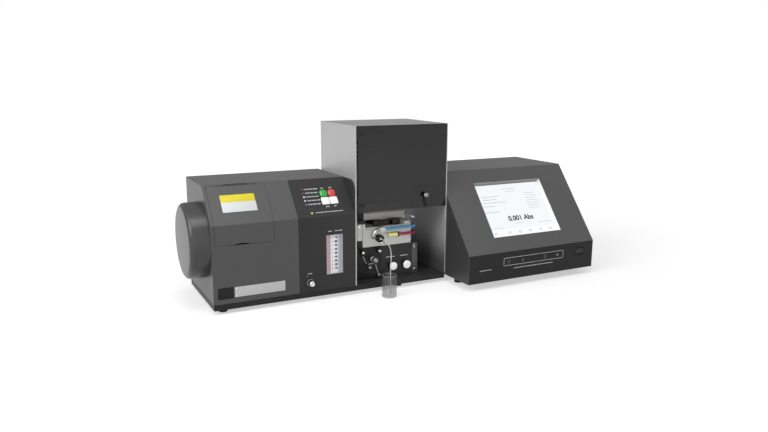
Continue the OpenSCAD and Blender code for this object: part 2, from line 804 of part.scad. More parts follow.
module adjuster_bracket() color("#262626") {
    x0 = x_chamber[0];
    x1 = x_gas_box[0] - bracket_gap;
    difference() {
        union() {
            block([x0, y_bracket, z_floor], [x1, y_bracket + bracket_t, gas_box_z]);
            block([x0, y_bracket, z_floor], [x1, y_bracket + bracket_foot, z_floor + bracket_t]);
        }
        for (x = x_rods) bar_y(x, y_bracket - past, y_bracket + bracket_t + past, z_rods, rod_r);
        bar_y(x_screw, y_bracket - past, y_bracket + bracket_t + past, z_screw, screw_r + run_fit);
    }
    for (q = [[x_screw - bracket_bolt_x, z_floor + bracket_bolt_up],
              [x1 - bracket_bolt_in, z_floor + bracket_bolt_in]])
        bar_y(q[0], y_bracket - bracket_bolt_h, y_bracket, q[1], bracket_bolt_r);
}
module guide_rods() color("#c0c0c0") for (x = x_rods) {
    bar_y(x, y_bracket, y_tower_back - sheet, z_rods, rod_r);
    bar_y(x, y_bracket - rod_cap_l, y_bracket, z_rods, rod_r + rod_cap);
}
module adjust_screw() color("#c8c8c8") {
    bar_y(x_screw, y_bracket - screw_knob_l, y_bracket - slide_gap, z_screw, screw_knob_r);
    bar_y(x_screw, y_bracket - past, y_saddle[1] + screw_end, z_screw, screw_r);
}
module spray_chamber() color("#acadaa") difference() {
    y_in = y_chamber[0] + past;
    y_nut = y_saddle[0] + nut_in;
    union() {
        block([x_chamber[0], y_chamber[0], z_chamber[0]], [x_chamber[1], y_chamber[1], z_chamber[1]]);
        block([x_rods[0] - saddle_rim, y_saddle[0], z_rods - saddle_rim],
              [x_rods[1] + saddle_rim, y_saddle[1], z_chamber[0] + past]);
        block([x_screw - nut_half, y_nut, z_screw - nut_half],
              [x_screw + nut_half, y_nut + nut_l, z_rods - saddle_rim + past]);
        bar_y(x_neb, y_neb[1], y_in, z_neb, neb_r - neb_step);
        bar_y(x_neb, y_neb[0] + neb_face, y_neb[1] + past, z_neb, neb_stem);
        block([x_hoses[0] - elbow_l, y_hose - elbow_half, z_hoses[0] - elbow_half],
              [x_hoses[0], y_in, z_hoses[0] + elbow_half]);
        bar_x(x_hoses[1] - fitting_l, x_hoses[1], y_hose, z_hoses[1], hose_r + fitting_rim);
        bar_y(x_hoses[1] - fitting_inlet, y_hose, y_in, z_hoses[1], hose_r);
    }
    for (x = x_rods) bar_y(x, y_saddle[0] - past, y_saddle[1] + past, z_rods, rod_r + run_fit);
    bar_y(x_screw, y_saddle[0] - past, y_saddle[1] + past, z_screw, screw_r + run_fit);
}
module nebuliser_cap() color("#1d1d1d") difference() {
    bar_y(x_neb, y_neb[0], y_neb[1] - slide_gap, z_neb, neb_r);
    bar_y(x_neb, y_neb[0] + neb_face - slide_gap, y_neb[1] + past, z_neb, neb_stem + run_fit);
}
module clamp_ring() color("#333333") difference() {
    bar_z(x_burner, y_turret, z_chamber[1] + slide_gap, head_z[0] - slide_gap, clamp_r);
    bar_z(x_burner, y_turret, z_chamber[1] - past, head_z[0] + past, neck_r + run_fit);
}
module burner_head() color("#8f9296") difference() {
    x0 = x_burner - head_l / 2;
    x1 = x_burner + head_l / 2;
    union() {
        bar_z(x_burner, y_turret, z_chamber[1], head_z[0] + past, neck_r);
        block([x0, y_turret - head_base_d / 2, head_z[0]],
              [x1, y_turret + head_base_d / 2, head_z[0] + head_base_h]);
        block([x0 + head_step, y_turret - head_neck_d / 2, head_z[0] + head_base_h - past],
              [x1 - head_step, y_turret + head_neck_d / 2, head_z[1]]);
        translate([x1 - handle_in, y_turret - handle_y, head_z[0] + handle_up])
            rotate([0, 90 + handle_droop, 0]) cylinder(h = handle_l, r = handle_r);
    }
    block([x0 + flame_slot_end, y_turret - flame_slot_w / 2, head_z[1] - flame_slot_deep],
          [x1 - flame_slot_end, y_turret + flame_slot_w / 2, head_z[1] + past]);
}
// Hose from its fitting along the chamber's front, round its end and back through the tower's back wall
module hose(x, z) {
    bar_x(x, x_turn - hose_bend, y_hose, z, hose_r);
    translate([x_turn - hose_bend, y_hose + hose_bend, z]) rotate([0, 0, -90])
        rotate_extrude(angle = 90) translate([hose_bend, 0]) circle(hose_r);
    bar_y(x_turn, y_hose + hose_bend, y_tower_back + hose_end, z, hose_r);
}
module fuel_hose() color("#3f86b0") hose(x_hoses[0], z_hoses[0]);
module oxidant_hose() color("#8c2b45") hose(x_hoses[1], z_hoses[1]);

// Smooth curve through a list of points, with a few steps between each two
function curve(q, steps) = [for (i = [0 : len(q) - 2], k = [0 : steps - 1])
    let (t = k / steps, a = q[max(i - 1, 0)], b = q[i], c = q[i + 1], d = q[min(i + 2, len(q) - 1)])
    b + t * (c - a) / 2 + t * t * (a - 2.5 * b + 2 * c - d / 2) + t * t * t * (1.5 * (b - c) + (d - a) / 2),
    q[len(q) - 1]];
function unit(v) = v / norm(v);
module tube(q, r, sides) {
    n = len(q);
    rings = [for (i = [0 : n - 1])
        let (t = unit(q[min(i + 1, n - 1)] - q[max(i - 1, 0)]),
             u = unit(cross(t, [1, 0, 0])),
             v = cross(t, u))
        for (k = [0 : sides - 1]) q[i] + r * (cos(k * 360 / sides) * u + sin(k * 360 / sides) * v)];
    sides_faces = [for (i = [0 : n - 2], k = [0 : sides - 1], half = [0, 1])
        let (a = i * sides + k, b = i * sides + (k + 1) % sides)
        half == 0 ? [a, a + sides, b] : [b, a + sides, b + sides]];
    polyhedron(rings, concat(sides_faces, [[for (k = [0 : sides - 1]) k]],
        [[for (k = [0 : sides - 1]) (n - 1) * sides + sides - 1 - k]]));
}
module capillary() color("#e8e8e4") tube(curve(capillary_points, 3), capillary_r, 8);
module cup_section(r, z0, edge) {
    translate([0, z0]) square([r - edge, cup_h - z0]);
    translate([0, z0 + edge]) square([r, cup_h - z0 - edge]);
    translate([r - edge, z0 + edge]) circle(edge);
}
module sample_cup() color("#c4c8ca") translate([x_cup, y_cup, 0]) rotate_extrude() difference() {
    cup_section(cup_r, 0, cup_edge);
    translate([0, hair]) cup_section(cup_r - cup_wall, cup_floor, cup_edge - cup_wall);
}

// Console

module console_cover() color("#5a5a5a") difference() {
    o = console(0);
    i = console(sheet);
    along_x(x_console + sheet, x_end - sheet)
        polygon([o[0], o[1], o[2], o[3], [y_back, top_z - sheet], i[2], i[1], i[0]]);
    on_console(x_screen, screen_low + screen_h / 2) pad(screen_w, screen_h, -sheet - past, past);
    block([x_rocker - rocker_w / 2 - panel_gap, y_console - past, z_rocker - rocker_open],
          [x_rocker + rocker_w / 2 + panel_gap, y_console + sheet + past, z_rocker + rocker_open]);
}
module console_left_side() color("#3d3d3d") difference() {
    along_x(x_console, x_console + sheet) polygon(console(0));
    bar_x(x_console - past, x_console + sheet + past, y_turret, z_beam, beam_hole_r);
}
module console_right_side() color("#5a5a5a") along_x(x_end - sheet, x_end) polygon(console(0));
module console_rear_panel() color("#5f5f5f") difference() {
    block([x_console + sheet, y_back - sheet, console_z], [x_end - sheet, y_back, top_z - sheet]);
    for (k = [-2 : 2]) translate([x_fan, 0, z_fan + slot_pitch * k])
        block([-grille_half, y_back - sheet - past, -slot_h / 2], [grille_half, y_back + past, slot_h / 2]);
    block([x_mains - mains_half[0], y_back - sheet - past, z_mains - mains_half[1]],
          [x_mains + mains_half[0], y_back + past, z_mains + mains_half[1]]);
}
module console_floor() color("#4a4a4a")
    block([x_console + sheet, y_console + sheet, console_z],
          [x_end - sheet, y_back - sheet, console_z + sheet]);
module display_bezel() color("#8d949c") on_console(x_screen, screen_low + screen_h / 2) difference() {
    pad(screen_w + 2 * bezel_rim, screen_h + 2 * bezel_rim, -recess, -sheet);
    pad(screen_w, screen_h, -recess - past, past);
}
module display_panel() color("#f4f7fa") on_console(x_screen, screen_low + screen_h / 2)
    pad(screen_w + 2 * bezel_rim, screen_h + 2 * bezel_rim, -recess - display_t, -recess);
module rocker_frame() color("#202020") difference() {
    w = rocker_w / 2 + panel_gap;
    block([x_rocker - w - rocker_rim, y_console + sheet, z_rocker - rocker_open - rocker_rim],
          [x_rocker + w + rocker_rim, y_console + rocker_frame_d, z_rocker + rocker_open + rocker_rim]);
    block([x_rocker - w, y_console, z_rocker - rocker_open],
          [x_rocker + w, y_console + rocker_frame_d - sheet, z_rocker + rocker_open]);
    pin = w + rocker_pin_l + run_fit;
    bar_x(x_rocker - pin, x_rocker + pin, rocker_axis_y, z_rocker, rocker_pin + run_fit);
}
module power_rocker() color("#303030") {
    difference() {
        bar_x(x_rocker - rocker_w / 2, x_rocker + rocker_w / 2, rocker_axis_y, z_rocker, rocker_r);
        block([x_rocker - rocker_w, y_console - rocker_r, z_rocker - 2 * rocker_r],
              [x_rocker + rocker_w, y_console, z_rocker + 2 * rocker_r]);
    }
    pin = rocker_w / 2 + panel_gap + rocker_pin_l;
    bar_x(x_rocker - pin, x_rocker + pin, rocker_axis_y, z_rocker, rocker_pin);
}
// Upright plate across the beam on the monochromator's base
module mono_plate(y, z0) block([x_mono[0] + mono_plate_in, y - mono_plate_half, z0],
    [x_mono[0] + mono_plate_in + mono_plate_t, y + mono_plate_half, z_beam + mono_plate_up]);
module monochromator() color("#6f7478") difference() {
    top = z_mono + mono_t;
    y_exit = y_mono[1] - exit_slit_in;
    x_mirror = x_mono[1] - mirror_in;
    union() {
        block([x_mono[0], y_mono[0], z_mono], [x_mono[1], y_mono[1], top]);
        for (x = [x_mono[0] + mono_post_in, x_mono[1] - mono_post_in],
             y = [y_mono[0] + mono_post_in, y_mono[1] - mono_post_in])
            bar_z(x, y, console_z + sheet, z_mono + past, mono_post_r);
        for (y = [y_turret, y_exit]) mono_plate(y, top - past);
        bar_z(x_mono[0] + detector_in, y_exit, top - past, z_beam + mono_plate_up, detector_r);
        for (y = [y_turret, y_turret + mirror_spacing])
            block([x_mirror - mirror_t, y - mirror_half, top - past],
                  [x_mirror, y + mirror_half, z_beam + mirror_half]);
    }
    bar_z(grating_at[0], grating_at[1], z_mono - past, top + past, grating_shaft + run_fit);
    block([x_mono[0], y_turret - slit_w / 2, z_beam - slit_half],
          [x_mono[0] + mono_plate_in + mono_plate_t + past, y_turret + slit_w / 2, z_beam + slit_half]);
}
module grating_table() color("#a9b0b8") {
    top = z_mono + mono_t + slide_gap;
    bar_z(grating_at[0], grating_at[1], z_mono - grating_drop, top + past, grating_shaft);
    bar_z(grating_at[0], grating_at[1], top, top + grating_disc_t, grating_disc_r);
    block([grating_at[0] - grating_half_t, grating_at[1] - grating_half_w, top + grating_disc_t - past],
          [grating_at[0] + grating_half_t, grating_at[1] + grating_half_w, z_beam + grating_half_w]);
}
module cooling_fan() color("#222222") {
    frame = fan_r + fan_rim;
    difference() {
        block([x_fan - frame, y_fan, z_fan - frame], [x_fan + frame, y_fan + fan_t, z_fan + frame]);
        bar_y(x_fan, y_fan - past, y_fan + fan_t + past, z_fan, fan_r);
    }
    block([x_fan - fan_r - past, y_fan, z_fan - strut_half],
          [x_fan + fan_r + past, y_fan + fan_rim, z_fan + strut_half]);
    bar_y(x_fan, y_fan + fan_rim - past, y_fan + fan_t - fan_hub_back - past, z_fan, fan_pin);
}
module fan_rotor() color("#2a2a2a") difference() {
    union() {
        bar_y(x_fan, y_fan + fan_rim + slide_gap, y_fan + fan_t - fan_hub_back, z_fan, fan_hub);
        for (k = [0 : fan_blades - 1]) translate([x_fan, y_fan + fan_t / 2, z_fan])
            rotate([0, k * 360 / fan_blades, 0]) rotate([fan_blade_lean, 0, 0])
            translate([fan_hub - past, -fan_blade_l / 2, -fan_blade_t / 2])
            cube([fan_r - fan_hub - 2 * past, fan_blade_l, fan_blade_t]);
    }
    bar_y(x_fan, y_fan, y_fan + fan_t - fan_hub_back - past + slide_gap, z_fan, fan_pin + run_fit);
}
// Box about the mains inlet's middle, from y0 to y1
module mains_box(half, y0, y1)
    block([x_mains - half[0], y0, z_mains - half[1]], [x_mains + half[0], y1, z_mains + half[1]]);
module rear_inlets() color("#b0a070") {
    y_bore = y_tower_back + hose_end + carriage_travel + hose_room;
    difference() {
        block([x_turn - manifold_half[0], y_tower_back, z_spigots - manifold_half[1]],
              [x_turn + manifold_half[0], y_back, z_spigots + manifold_half[1]]);
        for (z = z_hoses) bar_y(x_turn, y_tower_back - past, y_bore, z, hose_r + slide_gap);
    }
    for (x = x_spigots) bar_y(x, y_back - past, y_back + spigot_l, z_spigots, spigot_r);
    difference() {
        union() {
            mains_box(mains_plate, y_back, y_back + mains_plate_t);
            mains_box(mains_half, y_back - mains_depth, y_back + past);
        }
        mains_box(mains_hole, y_back - mains_hole_depth, y_back + mains_plate_t + past);
    }
    for (q = mains_blades) translate([q[0], 0, q[1]])
        mains_box(mains_blade, y_back - mains_hole_depth - past, y_back - mains_blade_in);
}

base_tray();
feet();
cabinet_end_panel();
cabinet_front_panel();
cabinet_top_cover();
cabinet_rear_panel();
gas_panel();
turret_cover();
lamp_bulkhead();
lamp_turret();
hollow_cathode_lamps();
lamp_lid();
lid_hinge();
flowmeter_block();
fuel_float();
oxidant_float();
status_leds();
push_switches();
green_button();
red_button();
white_button_left();
white_button_right();
trim_valve();
trim_valve_knob();
tower_left_wall();
tower_right_wall();
tower_top();
tower_back();
door_hinges();
tower_door();
door_leaves();
door_latch();
gas_box();
fuel_knob();
oxidant_knob();
adjuster_bracket();
guide_rods();
adjust_screw();
spray_chamber();
nebuliser_cap();
clamp_ring();
burner_head();
fuel_hose();
oxidant_hose();
capillary();
sample_cup();
console_cover();
console_left_side();
console_right_side();
console_rear_panel();
console_floor();
display_bezel();
display_panel();
rocker_frame();
power_rocker();
monochromator();
grating_table();
cooling_fan();
fan_rotor();
rear_inlets();
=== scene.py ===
# Looks of a bench atomic absorption spectrometer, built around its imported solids.
# Metres, +Z up, front towards -Y. Sizes of the pieces are millimetres, turned to metres by MM.
import json
import math

import bmesh
import bpy
from mathutils import Matrix, Vector

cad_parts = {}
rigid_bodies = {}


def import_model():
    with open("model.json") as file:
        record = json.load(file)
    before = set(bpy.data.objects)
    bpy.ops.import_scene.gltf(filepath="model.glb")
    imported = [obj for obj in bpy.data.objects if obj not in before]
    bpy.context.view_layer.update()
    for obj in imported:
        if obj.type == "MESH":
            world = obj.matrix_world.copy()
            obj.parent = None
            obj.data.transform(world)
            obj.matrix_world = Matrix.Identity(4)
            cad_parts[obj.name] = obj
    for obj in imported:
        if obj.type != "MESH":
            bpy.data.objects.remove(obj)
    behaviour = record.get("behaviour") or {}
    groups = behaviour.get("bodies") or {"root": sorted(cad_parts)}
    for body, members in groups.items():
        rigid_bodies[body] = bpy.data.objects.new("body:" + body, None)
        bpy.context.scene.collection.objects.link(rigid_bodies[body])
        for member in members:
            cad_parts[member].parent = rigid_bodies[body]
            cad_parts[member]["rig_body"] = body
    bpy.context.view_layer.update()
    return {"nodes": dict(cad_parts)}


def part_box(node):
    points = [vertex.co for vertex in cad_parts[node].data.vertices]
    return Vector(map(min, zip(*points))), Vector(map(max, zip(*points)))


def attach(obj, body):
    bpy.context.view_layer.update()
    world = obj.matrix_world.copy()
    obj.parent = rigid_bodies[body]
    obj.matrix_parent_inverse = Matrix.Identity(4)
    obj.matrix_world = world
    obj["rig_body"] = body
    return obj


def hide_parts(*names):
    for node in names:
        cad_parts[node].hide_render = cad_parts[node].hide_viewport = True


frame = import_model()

MM = 0.001
NODES = frame["nodes"]
SCENE = bpy.context.scene


def low(node):
    """Lowest corner of a node in millimetres."""
    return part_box(node)[0] / MM


def high(node):
    """Highest corner of a node in millimetres."""
    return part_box(node)[1] / MM


def middle(node):
    """Middle of a node's box in millimetres."""
    return (low(node) + high(node)) / 2


# Main planes, from the frame
X_CABINET = low("cabinet_end_panel").x
X_TOWER = low("tower_left_wall").x
X_CONSOLE = low("console_left_side").x
Y_FRONT = low("gas_panel").y
Y_TOWER = low("tower_door").y
Y_CONSOLE = low("console_cover").y
Y_BACK = high("console_rear_panel").y
TOP_Z = high("cabinet_top_cover").z
# Bends of the two sloping fronts: height of the bend, and depth of the slope
BEND_Z, SLOPE_RUN = 202, 69
CONSOLE_BEND_Z, CONSOLE_RUN = 91.5, 152
SLOPE_TILT = math.atan2(TOP_Z - BEND_Z, SLOPE_RUN)
CONSOLE_TILT = math.atan2(TOP_Z - CONSOLE_BEND_Z, CONSOLE_RUN)
UPRIGHT = math.radians(90)
# Thickness of a printed layer, as coarse as it needs to show
INK = 0.08


# Places on the faces: local x runs right, y up the face and z out of it

def on_face(x, y, z, tilt, turn=0.0):
    """Place at a point of a face that leans back by tilt from lying flat."""
    spot = Matrix.Translation(Vector((x, y, z)) * MM)
    return spot @ Matrix.Rotation(turn, 4, "Z") @ Matrix.Rotation(tilt, 4, "X")


def on_front(x, z):
    return on_face(x, Y_FRONT, z, UPRIGHT)


def on_slope(x, up):
    return on_face(x, Y_FRONT + up * math.cos(SLOPE_TILT), BEND_Z + up * math.sin(SLOPE_TILT), SLOPE_TILT)


def on_console_front(x, z):
    return on_face(x, Y_CONSOLE, z, UPRIGHT)


def on_console(x, up, sunk):
    y = Y_CONSOLE + up * math.cos(CONSOLE_TILT) + sunk * math.sin(CONSOLE_TILT)
    z = CONSOLE_BEND_Z + up * math.sin(CONSOLE_TILT) - sunk * math.cos(CONSOLE_TILT)
    return on_face(x, y, z, CONSOLE_TILT)


def on_back(x, y, z):
    return on_face(x, y, z, UPRIGHT, math.pi)


def to_the_right(spot):
    """Place at a point, with its z to the right."""
    return Matrix.Translation(spot * MM) @ Matrix.Rotation(UPRIGHT, 4, "Y")


# Camera at the photograph's viewpoint

def camera():
    place = Vector((-809.35, -1535.87, 520.68)) * MM
    yaw, pitch, roll = (math.radians(angle) for angle in (27.233, -11.388, 0.230))
    data = bpy.data.cameras.new("camera")
    data.sensor_width = 36
    data.lens = 32.305
    data.clip_start = 0.05
    made = bpy.data.objects.new("camera", data)
    made.matrix_world = (Matrix.Translation(place) @ Matrix.Rotation(-yaw, 4, "Z")
                         @ Matrix.Rotation(UPRIGHT + pitch, 4, "X") @ Matrix.Rotation(roll, 4, "Z"))
    SCENE.collection.objects.link(made)
    SCENE.camera = made


# Materials

def linear(code):
    """sRGB hex as a linear colour."""
    parts = [int(code[i:i + 2], 16) / 255 for i in (1, 3, 5)]
    return [p / 12.92 if p <= 0.04045 else ((p + 0.055) / 1.055) ** 2.4 for p in parts] + [1.0]


def add(tree, kind, sockets=None, **settings):
    """Add a shader node, with its settings, and its sockets given a value or linked."""
    made = tree.nodes.new("ShaderNode" + kind)
    for key, value in settings.items():
        setattr(made, key, value)
    for key, value in (sockets or {}).items():
        if isinstance(value, bpy.types.NodeSocket):
            tree.links.new(value, made.inputs[key])
        else:
            made.inputs[key].default_value = value
    return made


def finish(name, colour, roughness, drift=None, cloud=50, grain=1.0, raised=0.0, drawn=(1, 1, 1), uneven=0.04,
           painted_shade=None, **sockets):
    """A material of one real stuff. Its colour drifts to another in clouds of that width, and painted shade
    darkens it towards a third colour between two heights. Its grain, of that width, is raised by so much,
    drawn out along the axes where drawn is small, and leaves its gloss uneven. sockets are set as given."""
    made = bpy.data.materials.new(name)
    made.use_nodes = True
    tree = made.node_tree
    shader = tree.nodes["Principled BSDF"]
    shader.inputs["Base Color"].default_value = linear(colour)
    spot = add(tree, "TexCoord").outputs["Object"]
    if drift:
        clouds = add(tree, "TexNoise", {"Vector": spot, "Scale": 1 / (cloud * MM), "Detail": 3.0}).outputs[0]
        colours = {0: clouds, 6: linear(colour), 7: linear(drift)}
        tone = add(tree, "Mix", colours, data_type="RGBA").outputs[2]
        # Painted shade: from the upper height down to the lower one the colour darkens to the shade colour
        if painted_shade:
            height = add(tree, "SeparateXYZ", {0: spot}).outputs["Z"]
            span = {"Value": height, "From Min": painted_shade[1] * MM, "From Max": painted_shade[2] * MM,
                    "To Min": 1.0, "To Max": 0.0}
            dark = add(tree, "MapRange", span, interpolation_type="SMOOTHSTEP").outputs[0]
            tone = add(tree, "Mix", {0: dark, 6: tone, 7: linear(painted_shade[0])}, data_type="RGBA").outputs[2]
        tree.links.new(tone, shader.inputs["Base Color"])
    along = add(tree, "Mapping", {"Vector": spot, "Scale": drawn}).outputs[0]
    grit = add(tree, "TexNoise", {"Vector": along, "Scale": 1 / (grain * MM), "Detail": 2.0}).outputs[0]
    span = {"Value": grit, "From Min": 0.3, "From Max": 0.7,
            "To Min": max(roughness - uneven, 0.01), "To Max": roughness + uneven}
    tree.links.new(add(tree, "MapRange", span).outputs[0], shader.inputs["Roughness"])
    if raised:
        bump = add(tree, "Bump", {"Height": grit, "Distance": raised * MM, "Strength": 1.0}).outputs[0]
        tree.links.new(bump, shader.inputs["Normal"])
    for key, value in sockets.items():
        shader.inputs[key.replace("_", " ")].default_value = value
    return made


def glowing(name, colour, strength):
    """A lit plastic: it shines in its own colour through a faint cloud, under a smooth face."""
    made = finish(name, "#202020", 0.3, Specular_IOR_Level=0.2)
    tree = made.node_tree
    shader = tree.nodes["Principled BSDF"]
    spot = add(tree, "TexCoord").outputs["Object"]
    clouds = add(tree, "TexNoise", {"Vector": spot, "Scale": 1 / (30 * MM)}).outputs[0]
    dim = [0.97 * part for part in linear(colour)[:3]] + [1.0]
    tone = add(tree, "Mix", {0: clouds, 6: linear(colour), 7: dim}, data_type="RGBA").outputs[2]
    tree.links.new(tone, shader.inputs["Emission Color"])
    shader.inputs["Emission Strength"].default_value = strength
    return made


# Each gives its colour, roughness, the colour that it drifts to, the widths of its clouds and of its grain,
# and the grain's height. Hair lines, tool marks and the grain of mouldings, films and prints are finer on the
# real thing, and are drawn as coarse as they need to show.

# Powder-coated sheet steel: a matt grey skin with a fine orange peel
GREY_PAINT = finish("powder_coated_steel_grey", "#4c4c4c", 0.38, "#515151", 90, 1.6, 0.02,
                    Specular_IOR_Level=0.32)
# The same coating in dark grey, a little duller
DARK_PAINT = finish("powder_coated_steel_dark", "#2b2a2b", 0.5, "#302f30", 90, 1.4, 0.025,
                    Specular_IOR_Level=0.24)
# Coating of the console's sides, between the two
MID_PAINT = finish("powder_coated_steel_mid", "#353535", 0.42, "#3a3a3a", 90, 1.4, 0.025,
                   Specular_IOR_Level=0.35)
# Polyester film over the console's front strip: dark and even
OVERLAY = finish("polyester_film_dark", "#1b1a1b", 0.4, "#1f1e1f", 60, 0.9, 0.008, Specular_IOR_Level=0.22)
# Stoved black enamel on the tray, hinges and louvres: smooth and nearly black
BLACK_PAINT = finish("stoved_black_enamel", "#181818", 0.42, "#202020", 60, 1.2, 0.015,
                     Specular_IOR_Level=0.25)
# Moulded ABS of the drum: satin, with a fine spark-eroded grain
DRUM_PLASTIC = finish("moulded_abs_dark_grey", "#333333", 0.3, "#393939", 60, 0.9, 0.008)
# Rubber feet: dull, dusty black
RUBBER = finish("moulded_rubber_black", "#171717", 0.75, "#232323", 12, 0.8, 0.03, Specular_IOR_Level=0.25)
# Brushed stainless sheet of the tower's top: bright, with long hair lines that run along X
STEEL = finish("brushed_stainless_sheet", "#c0c0bf", 0.17, "#b8b8b8", 160, 0.9, 0.001, (0.01, 1, 0.01), 0.03,
               Metallic=1.0)
# Ground stainless of the tower's walls: pale, with upright hair lines, its reflections spread wide
WALL_STEEL = finish("ground_stainless_sheet", "#c3c3c3", 0.42, "#bbbbbb", 160, 0.9, 0.001, (0.01, 1, 0.01),
                    0.03, Metallic=0.5)
# Satin side of the same sheet, inside the compartment: glossier, with painted shade that darkens it towards
# its foot
SATIN_STEEL = finish("satin_stainless_sheet", "#c6c6c6", 0.34, "#bdbdbd", 120, 0.9, 0.001, (0.01, 1, 0.01),
                     0.04, ("#5e5e5e", 40, 140), Metallic=0.4)
# Nickel plating on turned brass: smooth and bright
NICKEL = finish("nickel_plated_brass", "#d2d1ce", 0.16, "#c6c5c2", 6, 0.6, 0.0, uneven=0.05, Metallic=1.0)
# Satin chrome of the door's knob, the thumbscrew and the links: greyer
SATIN_CHROME = finish("satin_chrome_plate", "#8f8f8e", 0.3, "#858584", 6, 0.6, 0.0, uneven=0.05, Metallic=1.0)
# Rolled aluminium plate: pale, with hair lines along X
PLATE = finish("brushed_aluminium_plate", "#bdbcbc", 0.42, "#b0afaf", 25, 0.5, 0.004, (0.02, 1, 1), 0.06,
               Metallic=0.7)
# Machined aluminium of the inner parts: grey with faint tool marks
ALUMINIUM = finish("machined_aluminium", "#a8a9aa", 0.38, "#9b9c9d", 20, 0.7, 0.006, (1, 0.05, 1), 0.06,
                   Metallic=1.0)
# Bead-blasted titanium of the burner: dull grey, a little cloudy
BURNER_METAL = finish("bead_blasted_titanium", "#a8a7a5", 0.5, "#9a9897", 14, 0.8, 0.02, Metallic=0.75)
# Turned brass of the gas spigots: warm yellow, satin
BRASS = finish("turned_brass", "#b79a5a", 0.3, "#a88c50", 10, 0.5, 0.004, Metallic=1.0)
# Smoked acrylic sheet: dark, polished and see-through
SMOKED_ACRYLIC = finish("smoked_acrylic_sheet", "#464646", 0.05, "#404040", 150, 30, uneven=0.02, IOR=1.45,
                        Transmission_Weight=1.0)
# Drawn glass of the flowmeter's tubes: thin, clear, seen by its gloss alone
TUBE_GLASS = finish("drawn_glass_tube", "#eef3f6", 0.06, "#e8eef2", 40, 20, uneven=0.02, IOR=1.47, Alpha=0.16)
# Blown borosilicate of the lamps: clear and polished
LAMP_GLASS = finish("blown_borosilicate_glass", "#f4f4ee", 0.03, "#ededea", 30, 15, uneven=0.02, IOR=1.47,
                    Transmission_Weight=1.0)
# Moulded polypropylene of the cup: smoky and half see-through, with a paler, denser ring at its lip that is
# partly a painted highlight along the rim
CUP_PLASTIC, CUP_LIP_HIGHLIGHT = (
    finish("moulded_polypropylene_" + name, colour, 0.25, drift, 15, 6.0, uneven=0.03, Alpha=alpha)
    for name, colour, drift, alpha in (
        ("smoky", "#5e5e5e", "#646464", 0.24), ("lip", "#8d9090", "#959898", 0.5)))
# White mouldings of buttons, knob caps and the screen's surround: satin ABS
WHITE_PLASTIC = finish("moulded_abs_white", "#f4f4f4", 0.38, "#ededec", 8, 0.7, 0.008)
# Tinted polycarbonate caps of the coloured buttons: glossy, coloured through
GREEN_PLASTIC, RED_PLASTIC = (
    finish("polycarbonate_" + name, colour, 0.22, drift, 6, 1.0, uneven=0.03, Coat_Weight=0.3)
    for name, colour, drift in (("green", "#27a13a", "#1f9433"), ("red", "#cf3a3c", "#c03032")))
# Black mouldings: phenolic knobs, switch bodies, the fan: satin
BLACK_PLASTIC = finish("moulded_phenolic_black", "#111111", 0.36, "#181818", 8, 0.8, 0.006,
                       Specular_IOR_Level=0.25)
# Polished nylon of the power rocker, a little paler than its frame
ROCKER_PLASTIC = finish("moulded_nylon_dark", "#262626", 0.3, "#212121", 8, 0.8, 0.004,
                        Specular_IOR_Level=0.35)
# Light grey PVC of the spray chamber: machined, slightly marbled
GREY_PVC = finish("machined_grey_pvc", "#c7c8c4", 0.4, "#bebfbb", 30, 0.8, 0.006)
# Grey side of the screen's surround, a painted shade on its upper wall and on a strip along the screen's top:
# matt moulding
BEZEL_PAINTED_SHADE = finish("moulded_abs_bezel_painted_shade", "#979899", 0.45, "#909192", 20, 0.8, 0.012)
# Flexible PVC hoses: soft gloss, faint lengthwise drag marks
BLUE_HOSE, RED_HOSE = (
    finish("extruded_pvc_" + name, colour, 0.33, drift, 12, 0.6, 0.006, (0.05, 1, 1))
    for name, colour, drift in (("blue", "#4695c0", "#3e8ab4"), ("red", "#97203f", "#871b38")))
# Nylon of the red hose's fitting, pale yellow, and of the nebuliser's nose, white
YELLOW_NYLON = finish("moulded_nylon_yellow", "#dbd489", 0.4, "#d0c87a", 8, 0.7, 0.01)
WHITE_NYLON = finish("moulded_nylon_white", "#e2e4e4", 0.35, "#d6d9da", 8, 0.7, 0.01)
# Thin capillary of PTFE: milky white, waxy
CAPILLARY = finish("extruded_ptfe_white", "#bfc0bf", 0.35, "#b2b4b4", 10, 0.8, 0.004, Subsurface_Weight=0.1)
# Screen-printed inks: flat and matt
WHITE_INK, GREY_INK, BLUE_INK, RED_INK, AMBER_INK = (
    finish("screen_printed_" + name, colour, 0.6, drift, 4, 0.5, 0.004)
    for name, colour, drift in (
        ("white", "#dadada", "#cfcfcf"), ("grey", "#7a7a7a", "#707070"), ("blue", "#232c58", "#1e274f"),
        ("red", "#bb959b", "#b28b92"), ("amber", "#d9cf4a", "#cfc540")))
# Vinyl of the two-coloured label on the lid and of the dark badge: smooth film
YELLOW_VINYL = finish("vinyl_film_yellow", "#decf1c", 0.45, "#d4c516", 20, 0.8, 0.004)
WHITE_VINYL = finish("vinyl_film_white", "#d6d9da", 0.45, "#ccd0d1", 20, 0.8, 0.004)
BLACK_VINYL = finish("vinyl_film_black", "#1a1819", 0.35, "#1f1d1e", 20, 0.8, 0.004, Specular_IOR_Level=0.2)
# Coated card of the flowmeter's scale and of the linings behind its tubes: smooth and matt
WHITE_CARD, PINK_CARD, LILAC_CARD, GREY_CARD = (
    finish("coated_card_" + name, colour, 0.5, drift, 15, 0.8, 0.004)
    for name, colour, drift in (
        ("white", "#f0eff3", "#e8e7ee"), ("pink", "#dcbcc1", "#d3b0b6"), ("lilac", "#c9cad8", "#bfc0d0"),
        ("grey", "#b4b4b7", "#abacae")))
# Tinted films in front of the tubes: frosted, half see-through
PINK_FILM, GREY_FILM = (
    finish("frosted_film_" + name, colour, 0.4, drift, 15, 0.8, 0.002, Alpha=0.55)
    for name, colour, drift in (("pink", "#f0dadd", "#e8d0d4"), ("grey", "#cfcfd4", "#c6c6cc")))
